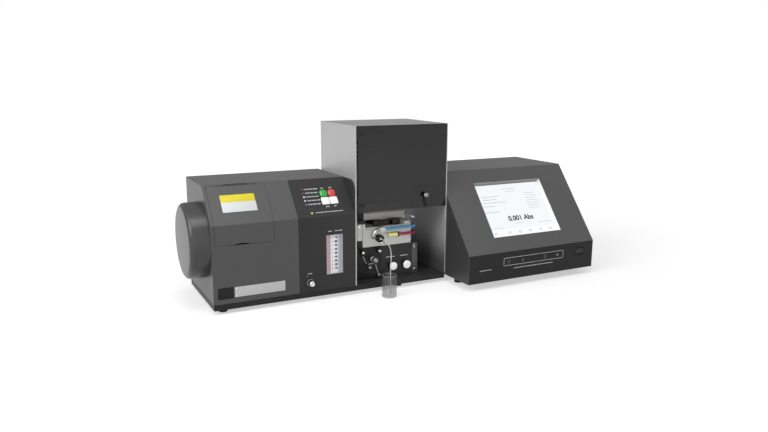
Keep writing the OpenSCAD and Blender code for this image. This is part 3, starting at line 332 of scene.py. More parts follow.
# Backlit screen and what it shows
SCREEN, SCREEN_PALE, SCREEN_GREY, SCREEN_DARK = (
    glowing("backlit_screen_" + name, colour, 1.0)
    for name, colour in (
        ("white", "#f4f7f9"), ("pale", "#fcfdfe"), ("grey", "#9ca1b0"), ("dark", "#17181b")))
# Indicator lamps: tinted lenses, lit more or less
LED_PINK, LED_BRIGHT, LED_WHITE, LED_DIM = (
    glowing("tinted_lens_" + name, colour, strength)
    for name, colour, strength in (
        ("pink", "#8f5068", 0.7), ("bright", "#f6dfe6", 1.0), ("white", "#dcdcdc", 0.9),
        ("dim", "#8f8f8f", 0.7)))


# Shapes

# A solid comes as loose triangles: points this near are one, and faces that turn by fewer degrees are one
WELD, FLAT_TURN = 0.003, 0.6
# Edges that turn by more degrees than the first are rounded. Long ones past the second are bends of a sheet
EDGE_TURN, BEND_TURN, BEND_LENGTH = 76, 28, 20
# Widths, heights and gaps in a row of dashes, by the height of the print
DASH_WIDTHS, DASH_HEIGHTS, DASH_GAPS = (1.1, 0.7, 1.6, 0.9, 1.3), (1.0, 0.8, 1.0, 0.9), (0.45, 0.4, 0.8)
# Height of a capital letter by the size of its font
CAPITAL = 0.7


def piece(name, shape, materials, body="chassis", stands_for=(), crease=35):
    """Make an object of a bmesh, crisp at edges that turn more than crease degrees, riding on its body."""
    for edge in shape.edges:
        edge.smooth = edge.calc_face_angle(0.0) < math.radians(crease)
    for side in shape.faces:
        side.smooth = True
    mesh = bpy.data.meshes.new(name)
    shape.to_mesh(mesh)
    shape.free()
    for material in materials if isinstance(materials, (list, tuple)) else [materials]:
        mesh.materials.append(material)
    made = bpy.data.objects.new(name, mesh)
    SCENE.collection.objects.link(made)
    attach(made, body)
    if stands_for:
        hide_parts(*stands_for)
    return made


def stand_in(node, ending, shape, materials):
    """A piece that stands for a node, on its body."""
    return piece(node + ending, shape, materials, NODES[node]["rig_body"], (node,))


def dressed(node, material, edge, bend=0.0, split=()):
    """A node's solid with its flat faces made whole, its sheet bends rolled to one radius and its edges to
    another. split lists further materials, each with a test that picks its faces by middle and normal."""
    shape = bmesh.new()
    shape.from_mesh(NODES[node].data)
    bmesh.ops.remove_doubles(shape, verts=shape.verts, dist=WELD * MM)
    bmesh.ops.dissolve_limit(shape, angle_limit=math.radians(FLAT_TURN), verts=shape.verts, edges=shape.edges)
    wide = max(edge, bend)
    weights = shape.edges.layers.float.new("bevel_weight_edge")
    for line in shape.edges:
        turn = math.degrees(line.calc_face_angle(0.0))
        if turn > EDGE_TURN:
            line[weights] = edge / wide
        elif bend and BEND_TURN < turn and line.calc_length() > BEND_LENGTH * MM:
            line[weights] = 1.0
    materials = [material]
    for other, picks in split:
        for side in shape.faces:
            if picks(side.calc_center_median() / MM, side.normal):
                side.material_index = len(materials)
        materials.append(other)
    rounding = stand_in(node, "_dressed", shape, materials).modifiers.new("rounded_edges", "BEVEL")
    rounding.limit_method = "WEIGHT"
    rounding.width = wide * MM
    rounding.segments = 3
    rounding.harden_normals = True


def join(into, shape):
    """Move one bmesh's shape into another."""
    carrier = bpy.data.meshes.new("carrier")
    shape.to_mesh(carrier)
    shape.free()
    into.from_mesh(carrier)
    bpy.data.meshes.remove(carrier)


def points_of(made):
    """The vertices among what an operator made."""
    return [item for item in made if isinstance(item, bmesh.types.BMVert)]


def turned(profile, place, steps=48, ribs=0, rib_depth=0.0, rib_span=(0, 0), into=None):
    """Turn a profile of (radius, height) about the place's z. With ribs, the rim within rib_span is drawn in
    by as many straight grooves: knurls at two steps a rib, round lobes at more."""
    shape = bmesh.new()
    points = [shape.verts.new((radius * MM, 0, height * MM)) for radius, height in profile]
    lines = [shape.edges.new(pair) for pair in zip(points, points[1:])]
    bmesh.ops.spin(shape, geom=points + lines, cent=(0, 0, 0), axis=(0, 0, 1), angle=math.tau, steps=steps,
                   use_merge=True)
    bmesh.ops.remove_doubles(shape, verts=shape.verts, dist=1e-6)
    bmesh.ops.recalc_face_normals(shape, faces=shape.faces)
    for point in shape.verts:
        reach = point.co.xy.length
        if ribs and rib_span[0] * MM < point.co.z < rib_span[1] * MM and reach > rib_depth * MM * 2:
            wave = 0.5 - 0.5 * math.cos(ribs * math.atan2(point.co.y, point.co.x))
            point.co.xy *= 1 - wave * rib_depth * MM / reach
    shape.transform(place)
    if into is None:
        return shape
    join(into, shape)
    return into


def rod(into, place, radius, start, end, steps=20):
    """A plain round rod along the place's z, or a printed dot where it is as short as the ink."""
    turned([(0, start), (radius, start), (radius, end), (0, end)], place, steps, into=into)


def socket_screw(into, place, radius, proud):
    """A button head with a socket in it, standing on a place."""
    turned([(radius, 0), (radius, proud * 0.45), (radius * 0.85, proud * 0.85), (radius * 0.6, proud),
            (radius * 0.42, proud), (radius * 0.38, proud * 0.4), (0, proud * 0.35)], place, 18, into=into)


def plate(into, place, x, y, wide, tall, thick, corner=0.0, edge=0.0, lift=0.0, hollow=0.0):
    """A flat plate on a place, centred at x, y, with rounded corners and edges. hollow leaves a frame of that
    width."""
    shape = bmesh.new()
    bmesh.ops.create_grid(shape, x_segments=1, y_segments=1, size=0.5)
    bmesh.ops.scale(shape, vec=(wide * MM, tall * MM, 1), verts=shape.verts)
    if corner:
        bmesh.ops.bevel(shape, geom=shape.verts[:], offset=corner * MM, segments=5, profile=0.5,
                        affect="VERTICES", material=-1)
    if hollow:
        bmesh.ops.inset_region(shape, faces=shape.faces[:], thickness=hollow * MM, use_boundary=True,
                               use_even_offset=True)
        inner = [side for side in shape.faces if not any(line.is_boundary for line in side.edges)]
        bmesh.ops.delete(shape, geom=inner, context="FACES_ONLY")
    grown = bmesh.ops.extrude_face_region(shape, geom=shape.faces[:])["geom"]
    bmesh.ops.translate(shape, vec=(0, 0, thick * MM), verts=points_of(grown))
    bmesh.ops.recalc_face_normals(shape, faces=shape.faces)
    if edge:
        rim = [line for line in shape.edges if all(point.co.z > thick * MM / 2 for point in line.verts)
               and line.calc_face_angle(0.0) > 1]
        bmesh.ops.bevel(shape, geom=rim, offset=edge * MM, segments=3, profile=0.5, affect="EDGES",
                        material=-1)
    shape.transform(place @ Matrix.Translation(Vector((x, y, lift)) * MM))
    join(into, shape)


def flat_piece(name, material, place, *sizes, body="chassis", slot=None, **more):
    """A plate that is a piece of its own, centred on its place."""
    shape = bmesh.new()
    plate(shape, place, 0, 0, *sizes, **more)
    piece(name, shape, material, body)


def dashes(into, place, x, y, length, tall):
    """A row of short bars that reads as a line of small print from afar, starting at x."""
    at, turn = x, 0
    while at < x + length - 1e-6:
        wide = min(DASH_WIDTHS[turn % 5] * tall, x + length - at)
        plate(into, place, at + wide / 2, y, wide, tall * DASH_HEIGHTS[turn % 4], INK)
        at += wide + DASH_GAPS[turn % 3] * tall
        turn += 1


def lettering(into, place, x, y, words, tall, bold):
    """Raised printed letters of that capital height, thickened by bold and centred at x, y."""
    curve = bpy.data.curves.new("letters", "FONT")
    curve.body = words
    curve.size = tall * MM / CAPITAL
    curve.align_x = "CENTER"
    curve.align_y = "CENTER"
    curve.extrude = INK / 2 * MM
    curve.offset = bold * MM
    curve.resolution_u = 3
    holder = bpy.data.objects.new("letters", curve)
    shape = bmesh.new()
    shape.from_mesh(holder.to_mesh())
    bmesh.ops.remove_doubles(shape, verts=shape.verts, dist=1e-7)
    holder.to_mesh_clear()
    bpy.data.objects.remove(holder)
    bpy.data.curves.remove(curve)
    shape.transform(place @ Matrix.Translation(Vector((x, y, INK / 2)) * MM))
    join(into, shape)


def tube(route, radius, sides, per_span):
    """A round tube along a smooth curve through the route's points, closed at both ends, and the curve's
    points, so many to a span."""
    points = [Vector(point) * MM for point in route]
    ends = [2 * points[0] - points[1]] + points + [2 * points[-1] - points[-2]]
    path = []
    for a, b, c, d in zip(ends, ends[1:], ends[2:], ends[3:]):
        for t in (step / per_span for step in range(per_span)):
            path.append(0.5 * (2 * b + (c - a) * t + (2 * a - 5 * b + 4 * c - d) * t ** 2
                               + (3 * b - a - 3 * c + d) * t ** 3))
    path.append(points[-1])
    shape = bmesh.new()
    heading = (path[1] - path[0]).normalized()
    turn = heading.to_track_quat("Z", "Y")
    bmesh.ops.create_circle(shape, cap_ends=True, segments=sides, radius=radius * MM,
                            matrix=Matrix.Translation(path[0]) @ turn.to_matrix().to_4x4())
    ring = shape.edges[:]
    for k in range(1, len(path)):
        ahead = (path[min(k + 1, len(path) - 1)] - path[k - 1]).normalized()
        grown = bmesh.ops.extrude_edge_only(shape, edges=ring)["geom"]
        ring = [item for item in grown if isinstance(item, bmesh.types.BMEdge)]
        step = (Matrix.Translation(path[k]) @ heading.rotation_difference(ahead).to_matrix().to_4x4()
                @ Matrix.Translation(-path[k - 1]))
        bmesh.ops.transform(shape, matrix=step, verts=points_of(grown))
        heading = ahead
    bmesh.ops.contextual_create(shape, geom=ring)
    bmesh.ops.recalc_face_normals(shape, faces=shape.faces)
    return shape, path


# Capillary: from the nebuliser's cap down past the tray and into the cup

CAPILLARY_THICK = 2
# Its bends, as offsets from the tower's left front corner
CAPILLARY_BENDS = (
    (77, 15.5, 128), (77, 11, 128), (79, 5, 127), (84, -1, 122), (89, -7, 112), (90, -12, 101), (87, -20, 92),
    (82, -28, 80), (77, -36, 66), (73, -43, 52), (71, -47, 38), (70, -49, 24), (70, -50, 12), (70, -50, 6))


def capillary():
    corner = Vector((X_TOWER, Y_FRONT, 0))
    shape, path = tube([corner + Vector(bend) for bend in CAPILLARY_BENDS], CAPILLARY_THICK / 2, 10, 3)
    made = stand_in("capillary", "_tube", shape, CAPILLARY)


# Housings and inner parts kept to their solids, by material, edge radius and bend radius

KEPT = {
    (RUBBER, 0.8, 0): ("feet",),
    (GREY_PAINT, 0.5, 0): ("cabinet_end_panel", "cabinet_rear_panel", "console_rear_panel"),
    (GREY_PAINT, 0.5, 2.0): ("cabinet_front_panel", "cabinet_top_cover"),
    (GREY_PAINT, 0.6, 2.0): ("lamp_lid",),
    (GREY_PAINT, 0.2, 0): ("lid_hinge",),
    (DARK_PAINT, 0.5, 2.0): ("gas_panel",),
    (DARK_PAINT, 0.8, 1.5): ("gas_box",),
    (DARK_PAINT, 0.5, 0): ("console_floor",),
    (MID_PAINT, 0.5, 0): ("console_left_side", "console_right_side"),
    (BLACK_PAINT, 0.2, 0): ("door_hinges", "door_leaves"),
    (STEEL, 0.4, 0): ("tower_top",),
    (SMOKED_ACRYLIC, 0.6, 0): ("tower_door",),
    (DRUM_PLASTIC, 0.4, 0): ("turret_cover",),
    (GREY_PVC, 1.0, 1.0): ("spray_chamber",),
    (SCREEN, 0.3, 0): ("display_panel",),
    (LAMP_GLASS, 0.4, 0): ("hollow_cathode_lamps",),
    (ALUMINIUM, 0.3, 0): ("lamp_bulkhead", "grating_table"),
    (ALUMINIUM, 0.4, 0): ("lamp_turret",),
    (ALUMINIUM, 0.5, 0): ("monochromator",),
    (BLACK_PLASTIC, 0.3, 0): ("push_switches", "fan_rotor"),
    (BLACK_PLASTIC, 0.4, 0): ("rocker_frame",),
    (BLACK_PLASTIC, 0.5, 0): ("trim_valve", "adjuster_bracket", "cooling_fan"),
    (ROCKER_PLASTIC, 0.5, 0): ("power_rocker",),
}
# A face looks along an axis where its normal's part along it passes this
FACING = 0.9
# Front of the adjuster's bracket, behind its bolt heads
BRACKET_FACE = low("adjuster_bracket").y + 6
# Where the burner's handle starts
HANDLE_X = middle("clamp_ring").x + 56.5


def housings():
    for looks, nodes in KEPT.items():
        for node in nodes:
            dressed(node, *looks)
    # The tray's floor shows grey in the burner's compartment
    dressed("base_tray", BLACK_PAINT, 0.6, 0, [(DARK_PAINT, lambda spot, out: out.z > FACING)])
    # The console's front strip lies under a dark overlay; its slope and top are grey
    dressed("console_cover", GREY_PAINT, 0.5, 2.5,
            [(OVERLAY, lambda spot, out: out.y < -FACING and spot.z < CONSOLE_BEND_Z)])
    # The screen's surround is white inside but for its upper wall, which is grey: painted shade on the wall
    # that faces down the slope
    up_slope = Vector((0, math.cos(CONSOLE_TILT), math.sin(CONSOLE_TILT)))
    dressed("display_bezel", WHITE_PLASTIC, 0.6, 0,
            [(BEZEL_PAINTED_SHADE, lambda spot, out: out.dot(up_slope) < -FACING)])
    # Black mains inlet, aluminium manifold with brass spigots
    dressed("rear_inlets", BRASS, 0.4, 0,
            [(BLACK_PLASTIC, lambda spot, out: spot.x > X_CONSOLE),
             (ALUMINIUM, lambda spot, out: spot.x < X_CONSOLE and spot.y < Y_BACK + 0.1)])
    # Satin inside of the burner's compartment
    for node, picks in (("tower_right_wall", lambda spot, out: out.x < -FACING),
                        ("tower_back", lambda spot, out: out.y < -FACING),
                        ("tower_left_wall", lambda spot, out: out.x > FACING)):
        dressed(node, WALL_STEEL, 0.3, 0, [(SATIN_STEEL, picks)])
    # Plated guide rods with black end caps
    dressed("guide_rods", NICKEL, 0.4, 0, [(BLACK_PLASTIC, lambda spot, out: spot.y < BRACKET_FACE + 0.1)])
    # The burner's handle is a plated rod
    dressed("burner_head", BURNER_METAL, 0.8, 0, [(NICKEL, lambda spot, out: spot.x > HANDLE_X)])


# Lamp cabinet: bare label on the lid, bare data plate and badge on the front

# Middle and width of the label, and middle, width and height of the data plate
LABEL_X, LABEL_WIDE = X_CABINET + 73.5, 79
DATA_X, DATA_Z, DATA_WIDE, DATA_TALL = X_CABINET + 107, 48.2, 118, 23.3


def cabinet_plates():
    for name, material, foot, tall in (("lid_label_lower", WHITE_VINYL, 32, 25.6),
                                       ("lid_label_upper", YELLOW_VINYL, 57.6, 19.4)):
        place = on_slope(LABEL_X, foot + tall / 2)
        flat_piece(name, material, place, LABEL_WIDE, tall, 0.25, edge=0.08, body="lid", slot="white_plastic")
    flat_piece("data_plate", PLATE, on_front(DATA_X, DATA_Z), DATA_WIDE, DATA_TALL, 0.7, 1.0, 0.2,
               slot="aluminium")
    flat_piece("front_badge", BLACK_VINYL, on_front(X_CABINET + 27.5, 48), 35, 26, 0.7, 1.0, 0.2,
               slot="black_plastic")
    rivets = bmesh.new()
    for side in (3.5 - DATA_WIDE / 2, DATA_WIDE / 2 - 3.5):
        for up in (3.05 - DATA_TALL / 2, DATA_TALL / 2 - 3.05):
            turned([(1.6, 0.6), (1.6, 0.9), (1.1, 1.5), (0, 1.7)], on_front(DATA_X + side, DATA_Z + up), 14,
                   into=rivets)
    piece("data_plate_rivets", rivets, NICKEL)


# Gas panel: end plate, push buttons, lamps with their legends, flowmeter and trim valve

# Push buttons: node, plastic, distance up the slope, height of the cap and radius of its corners
BUTTONS = (
    ("green_button", GREEN_PLASTIC, 61.5, 4.0, 6.0), ("red_button", RED_PLASTIC, 61.5, 4.0, 6.0),
    ("white_button_left", WHITE_PLASTIC, 40.5, 3.0, 1.8),
    ("white_button_right", WHITE_PLASTIC, 40.5, 3.0, 1.8))
# Side of the caps, and how far the caps and their stems go down
BUTTON_SIDE, BUTTON_SUNK, BUTTON_STEM = 19.5, 6, 14
# Lamps in a column: how far up the slope the lowest is, the pitch, and their legends' lengths, lowest first
LED_LOW, LED_PITCH, LED_LEGENDS = 35, 10.4, (31, 32, 31, 31, 33)
# Flowmeter: its middle and front, width and height of its tray, rim, depth of its back and of its scale
FLOW, FLOW_Y = middle("flowmeter_block"), low("flowmeter_block").y
FLOW_WIDE, FLOW_TALL, FLOW_RIM, FLOW_DEEP, FLOW_SUNK = 41.4, 95, 1.0, 14.5, 4.5
WINDOW_TALL = FLOW_TALL - 2 * FLOW_RIM
# Its tubes: distance from the middle, radius, wall and length
TUBE_OFF, TUBE_R, TUBE_WALL, TUBE_TALL = 13, 4, 0.25, FLOW_TALL - 5
# Its scale: rows, the lowest from the middle, and the pitch, which fine marks cut in four
SCALE_ROWS, SCALE_LOW, SCALE_PITCH = 9, -36, 9.4


def panel_end_plate():
    """Dark plate that closes the panel's slope against the tower, rounded at its top front corner. Its other
    corners are inside the cabinet."""
    front, back, foot, head = Y_FRONT + 0.3, 40, BEND_Z - 52, TOP_Z - 0.4
    place = on_face(X_TOWER, (front + back) / 2, (foot + head) / 2, UPRIGHT, -UPRIGHT)
    flat_piece("panel_end_plate", DARK_PAINT, place, back - front, head - foot, 1.6, 26, 0.3, 0.1,
               slot="painted_dark")


def push_buttons():
    surrounds = bmesh.new()
    for node, material, up, proud, corner in BUTTONS:
        place = on_slope(middle(node).x, up)
        cap = bmesh.new()
        plate(cap, place, 0, 0, BUTTON_SIDE, BUTTON_SIDE, proud + BUTTON_SUNK, corner, corner * 0.6,
              -BUTTON_SUNK)
        rod(cap, place, 3, -BUTTON_STEM, -BUTTON_SUNK)
        stand_in(node, "_cap", cap, material)
        plate(surrounds, place, 0, 0, BUTTON_SIDE + 1.5, BUTTON_SIDE + 1.5, 0.5, 2.2, 0.2, hollow=0.6)
    piece("button_surrounds", surrounds, BLACK_PLASTIC)


def indicator_lamps(legends):
    """Tinted lenses, with a line of print to the right of each."""
    rows_by_tint = {LED_PINK: (3, 4), LED_BRIGHT: (2,), LED_WHITE: (1,), LED_DIM: (0,)}
    for letter, (material, rows) in zip("abcd", rows_by_tint.items()):
        shape = bmesh.new()
        for row in rows:
            place = on_slope(middle("status_leds").x, LED_LOW + row * LED_PITCH)
            turned([(0, -4), (2.2, -4), (2.2, 0.1), (1.9, 0.8), (1.2, 1.35), (0, 1.6)], place, 20, into=shape)
            dashes(legends, place, 5.6, 0, LED_LEGENDS[row], 2.3)
        piece("indicator_lens_" + letter, shape, material,
              stands_for=("status_leds",) if letter == "a" else ())


def panel_prints():
    white, amber, grey = bmesh.new(), bmesh.new(), bmesh.new()
    indicator_lamps(white)
    # A dot and a long legend under the lamps, and short legends around the buttons
    lamp_x = middle("status_leds").x
    rod(amber, on_slope(lamp_x + 8.2, 11), 2.6, 0, INK)
    dashes(white, on_slope(lamp_x, 11.5), 18, 0, 68, 2.0)
    for node, word, length in (("green_button", "ON", 8), ("red_button", "OFF", 6)):
        lettering(white, on_slope(middle(node).x, 76.5), 0, 0, word, 2.8, 0.12)
        dashes(white, on_slope(middle(node).x, 25.5), -2, 0, length, 2.2)
    # Legends over the flowmeter's tubes and the trim valve, with a dot beside its knob
    over_tubes = on_front(FLOW.x, 165)
    dashes(white, over_tubes, -16, 0, 8, 2.0)
    dashes(white, over_tubes, 1, 0, 19, 2.0)
    trim = middle("trim_valve_knob")
    dashes(white, on_front(trim.x, trim.z + 21), -4, 0, 10, 2.2)
    rod(grey, on_front(trim.x - 6.5, trim.z + 15), 1.4, 0, INK, 16)
    piece("panel_legends", white, WHITE_INK)
    piece("panel_amber_dot", amber, AMBER_INK)
    piece("panel_grey_dot", grey, GREY_INK)


def in_flowmeter(deep):
    """Place at the middle of the flowmeter, so far behind its front."""
    return on_face(FLOW.x, FLOW_Y + deep, FLOW.z, UPRIGHT)


def flowmeter_tray():
    """Open tray, pink at its left side and grey elsewhere, with a white bar down the middle for the scale."""
    tray, bar = bmesh.new(), bmesh.new()
    thick = high("flowmeter_block").y - FLOW_Y
    plate(tray, in_flowmeter(thick), 0, 0, FLOW_WIDE, FLOW_TALL, thick)
    front = [side for side in tray.faces if side.normal.y < -FACING]
    bmesh.ops.inset_region(tray, faces=front, thickness=FLOW_RIM * MM, use_boundary=True,
                           use_even_offset=True)
    grown = bmesh.ops.extrude_face_region(tray, geom=front)["geom"]
    bmesh.ops.translate(tray, vec=(0, FLOW_DEEP * MM, 0), verts=points_of(grown))
    bmesh.ops.delete(tray, geom=front, context="FACES_ONLY")
    bmesh.ops.recalc_face_normals(tray, faces=tray.faces)
    for side in tray.faces:
        side.material_index = int(side.calc_center_median().x < (FLOW.x - FLOW_WIDE / 4) * MM)
    piece("flowmeter_tray", tray, [GREY_CARD, PINK_CARD],
          stands_for=("flowmeter_block",))
    plate(bar, in_flowmeter(FLOW_DEEP), 0, 0, 2 * (TUBE_OFF - TUBE_R) - 0.6, WINDOW_TALL,
          FLOW_DEEP - FLOW_SUNK, edge=0.3)
    for side in bar.faces:
        side.material_index = 1 if side.normal.x < -FACING else 2 if side.normal.x > FACING else 0
    piece("flowmeter_scale_bar", bar, [WHITE_CARD, PINK_CARD, LILAC_CARD])


def flowmeter_tubes():
    """Glass tubes, each between a lining and a frosted film. The right film has a lilac strip on it."""
    lining, face = in_flowmeter(FLOW_DEEP), in_flowmeter(FLOW_SUNK)
    film_tall = WINDOW_TALL - 0.2
    glass = bmesh.new()
    for side, name, materials in ((-1, "left", [PINK_CARD, PINK_FILM]),
                                  (1, "right", [GREY_CARD, GREY_FILM, LILAC_CARD])):
        shape = bmesh.new()
        plate(shape, lining, side * TUBE_OFF, 0, 9, WINDOW_TALL - 1, INK)
        plate(shape, face, side * (TUBE_OFF + 1), 0, 2 * TUBE_R + 2.6, film_tall, 0.3, lift=-0.3)
        if side > 0:
            plate(shape, face, 10.4, 0, 3.4, film_tall, INK)
        for skin in shape.faces:
            deep = skin.calc_center_median().y / MM - FLOW_Y
            skin.material_index = 0 if deep > FLOW_DEEP / 2 else 1 if deep > FLOW_SUNK - 0.01 else 2
        piece("flowmeter_film_" + name, shape, materials)
        inner = TUBE_R - TUBE_WALL
        foot = on_face(FLOW.x + side * TUBE_OFF, middle("fuel_float").y, FLOW.z - TUBE_TALL / 2, 0)
        turned([(TUBE_R, 0), (TUBE_R, TUBE_TALL), (inner, TUBE_TALL), (inner, 0), (TUBE_R, 0)], foot, 24,
               into=glass)
    piece("flowmeter_tubes", glass, TUBE_GLASS)


def flowmeter_scale():
    """Numbers and marks on the bar, and broad marks on the left film."""
    face = in_flowmeter(FLOW_SUNK)
    blue, red = bmesh.new(), bmesh.new()
    for row in range(SCALE_ROWS):
        up = SCALE_LOW + row * SCALE_PITCH
        lettering(blue, face, 5.0, up, str(10 * (row + 1)), 4.4, 0.5)
        plate(blue, face, -4.4, up, 2.4, 1.6, INK)
        plate(blue, face, 7.4, up, 1.4, 1.4, INK)
        plate(red, face, -TUBE_OFF - 0.6, up, 7.6, 2.4, INK)
        for step in range(1, 4):
            plate(blue, face, -4.9, up + step * SCALE_PITCH / 4, 1.4, 0.5, INK)
    piece("flowmeter_scale_blue", blue, BLUE_INK)
    piece("flowmeter_scale_red", red, RED_INK)


def floats():
    for node in ("fuel_float", "oxidant_float"):
        spot, foot = middle(node), low(node).z
        top = high(node).z - foot
        bob = turned([(0, 0), (1.6, 0), (3.5, 2.6), (3.5, top - 1.4), (2.8, top - 0.3), (1.2, top), (0, top)],
                     on_face(spot.x, spot.y, foot, 0), 28)
        stand_in(node, "_bob", bob, BLACK_PLASTIC)


def trim_valve():
    """Knurled knob on its shaft, and a grey ring on the valve's collar."""
    spot = middle("trim_valve_knob")
    seat = low("trim_valve").y - 0.3
    place = on_face(spot.x, seat, spot.z, UPRIGHT)
    reach = seat - low("trim_valve_knob").y
    knob = turned([(0, 0), (4.2, 0), (4.4, 2.2), (5.8, 3.0), (6.5, 3.6), (6.5, reach - 1.4),
                   (5.6, reach - 0.3), (4.6, reach), (4.2, reach - 0.5), (0, reach - 0.6)],
                  place, 56, 28, 0.35, (3.4, reach - 1.2))
    rod(knob, place, 3, seat - high("trim_valve_knob").y, 0.5)
    stand_in("trim_valve_knob", "_knurled", knob, NICKEL)
    ring = turned([(6.9, 3.0), (9.0, 3.0), (8.4, 3.6), (7.2, 3.6), (6.9, 3.0)], on_front(spot.x, spot.z), 40)
    piece("trim_valve_ring", ring, GREY_INK)


# Burner tower: latch on the door, louvres over the exhaust slots

# Latch: how far its pivot is from the console, and the lean of its lever
LATCH_IN, LEVER_LEAN = 65.5, math.radians(8)
# Louvres: how far the first is below the tower's top, pitch, rows, distance from the middle, and lean
LOUVRE_DOWN, LOUVRE_PITCH, LOUVRE_ROWS, LOUVRE_OFF, LOUVRE_LEAN = 23, 12, 6, 40, math.radians(-38)


def latch():
    place = on_face(X_CONSOLE - LATCH_IN, Y_TOWER - 0.3, high("door_latch").z - 6.5, UPRIGHT)
    lever = place @ Matrix.Rotation(LEVER_LEAN, 4, "Z") @ Matrix.Translation((0, -13.5 * MM, 0))
    flat_piece("latch_lever", BLACK_PLASTIC, lever, 8, 36, 3, 3.9, 0.6, body="latch", slot="black_plastic")
    knob = turned([(0, 3), (3.6, 3), (3.8, 4.4), (5.6, 5.2), (6.5, 6.2), (6.5, 9.6), (5.7, 11.0), (4.4, 11.6),
                   (0, 11.7)], place, 64, 32, 0.25, (6.0, 9.9))
    turned([(0, -8.4), (6.5, -8.4), (6.5, -5.6), (5.9, -5.4), (3, -5.4), (3, 0.2), (0, 0.2)], place, 40,
           into=knob)
    piece("latch_knob", knob, SATIN_CHROME, "latch", ("door_latch",))


def louvres():
    """Bent strips that hang over the exhaust slots at the back."""
    centre, wall = (X_TOWER + X_CONSOLE) / 2, high("tower_back").y
    lean = Matrix.Rotation(LOUVRE_LEAN, 4, "X")
    shape = bmesh.new()
    for across in (centre - LOUVRE_OFF, centre + LOUVRE_OFF):
        for row in range(LOUVRE_ROWS):
            place = on_back(across, wall, high("tower_top").z - LOUVRE_DOWN - LOUVRE_PITCH * row)
            plate(shape, place @ lean, 0, -4.6, 64, 9.6, 0.9, 0.8, 0.2)
    piece("exhaust_louvres", shape, BLACK_PAINT)


# Burner compartment

# Front of the gas box, behind its bolt heads, and how far its knobs stand off it
BOX_FACE, KNOB_GAP = low("gas_box").y + 3, 2
# Links of the adjuster: their width, and their ends and pivots from the thumbscrew's middle
LINK_WIDE = 3.0
LINK_LEFT, LINK_KNEE = Vector((-29, 13)), Vector((-16.5, -13))
LINK_RIGHT, LINK_TOE = Vector((6.5, -11)), Vector((17, -43.5))
# Front of the spray chamber, behind its port for the nebuliser
CHAMBER_FACE, CHAMBER_LEFT = low("spray_chamber").y + 20, low("spray_chamber").x
CHAMBER_TOP = high("spray_chamber").z
# Hoses: radius, radius of their bend, and how far they sag on their way to the back
HOSE_R, HOSE_BEND, HOSE_SAG = 3.5, 15, 20
# Elbow of the fuel hose: its bends from the hose's start
ELBOW_BENDS = (
    (-33, 8, -20), (-33, 1, -17), (-31, -3, -9), (-24, -4, -1), (-13, -1, 1.5), (-4, 0, 0), (5, 0, 0))
# Droop of the burner's handle
HANDLE_DROOP = math.radians(26)


def gas_knobs():
    """Fluted black grips with white caps, and their legends."""
    legends = bmesh.new()
    for node, left, length in (("fuel_knob", -14, 24), ("oxidant_knob", -12, 22)):
        spot, body = middle(node), NODES[node]["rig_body"]
        seat = BOX_FACE - KNOB_GAP
        place = on_face(spot.x, seat, spot.z, UPRIGHT)
        grip = turned([(0, 0), (9.6, 0), (10.8, 0.7), (10.8, 9.8), (10.0, 11.2), (0, 11.2)], place,
                      48, 24, 0.55, (0.9, 9.6))
        rod(grip, place, 4, seat - high(node).y, 0.3)
        piece(node + "_grip", grip, BLACK_PLASTIC, body, (node,))
        cap = turned([(0, 10.6), (10.3, 10.6), (10.3, 12.9), (9.7, 13.7), (8.6, 14.0), (0, 14.0)], place, 48)
        piece(node + "_cap", cap, WHITE_PLASTIC, body)
        dashes(legends, on_face(spot.x, BOX_FACE, spot.z + 21.5, UPRIGHT), left, 0, length, 1.9)
    piece("gas_box_legends", legends, WHITE_INK)


def gas_box_flange():
    place = on_face(high("gas_box").x - 8, BOX_FACE, middle("gas_box").z, UPRIGHT)
    tall = high("gas_box").z - low("gas_box").z - 1
    flat_piece("gas_box_flange_plate", GREY_PAINT, place, 15.4, tall, 0.4, 1, 0.15, slot="painted_dark")


def bay_screws():
    """Screws of the gas box's flange, of the adjuster's bracket and of its guide rods."""
    heads = bmesh.new()
    for z in (low("gas_box").z + 9, high("gas_box").z - 9):
        socket_screw(heads, on_face(high("gas_box").x - 9, BOX_FACE, z, UPRIGHT), 5.2, 3.4)
    foot = low("adjuster_bracket").z
    for x, z in ((middle("adjust_screw").x - 9, foot + 31), (high("adjuster_bracket").x - 8, foot + 8)):
        socket_screw(heads, on_face(x, BRACKET_FACE, z, UPRIGHT), 5.2, 6.3)
    for x in (low("guide_rods").x + 6, high("guide_rods").x - 6):
        socket_screw(heads, on_face(x, low("guide_rods").y, middle("guide_rods").z, UPRIGHT), 3.8, 2.6)
    piece("burner_bay_screws", heads, NICKEL)


def thumbscrew():
    """Screw that moves the carriage: knurled head on a plain neck."""
    spot, front = middle("adjust_screw"), low("adjust_screw").y
    place = on_face(spot.x, front, spot.z, UPRIGHT) @ Matrix.Rotation(math.pi, 4, "X")
    length, head = high("adjust_screw").y - front, 21.7
    screw = turned([(0, 0), (5.2, 0), (6.6, 1.0), (7, 2.0), (7, 8.6), (6.2, 9.8), (4.4, 10.4),
                    (4.4, head - 4), (6.4, head - 3), (6.4, head), (3, head), (3, length), (0, length)],
                   place, 60, 30, 0.4, (1.4, 9.0))
    stand_in("adjust_screw", "_knurled", screw, SATIN_CHROME)


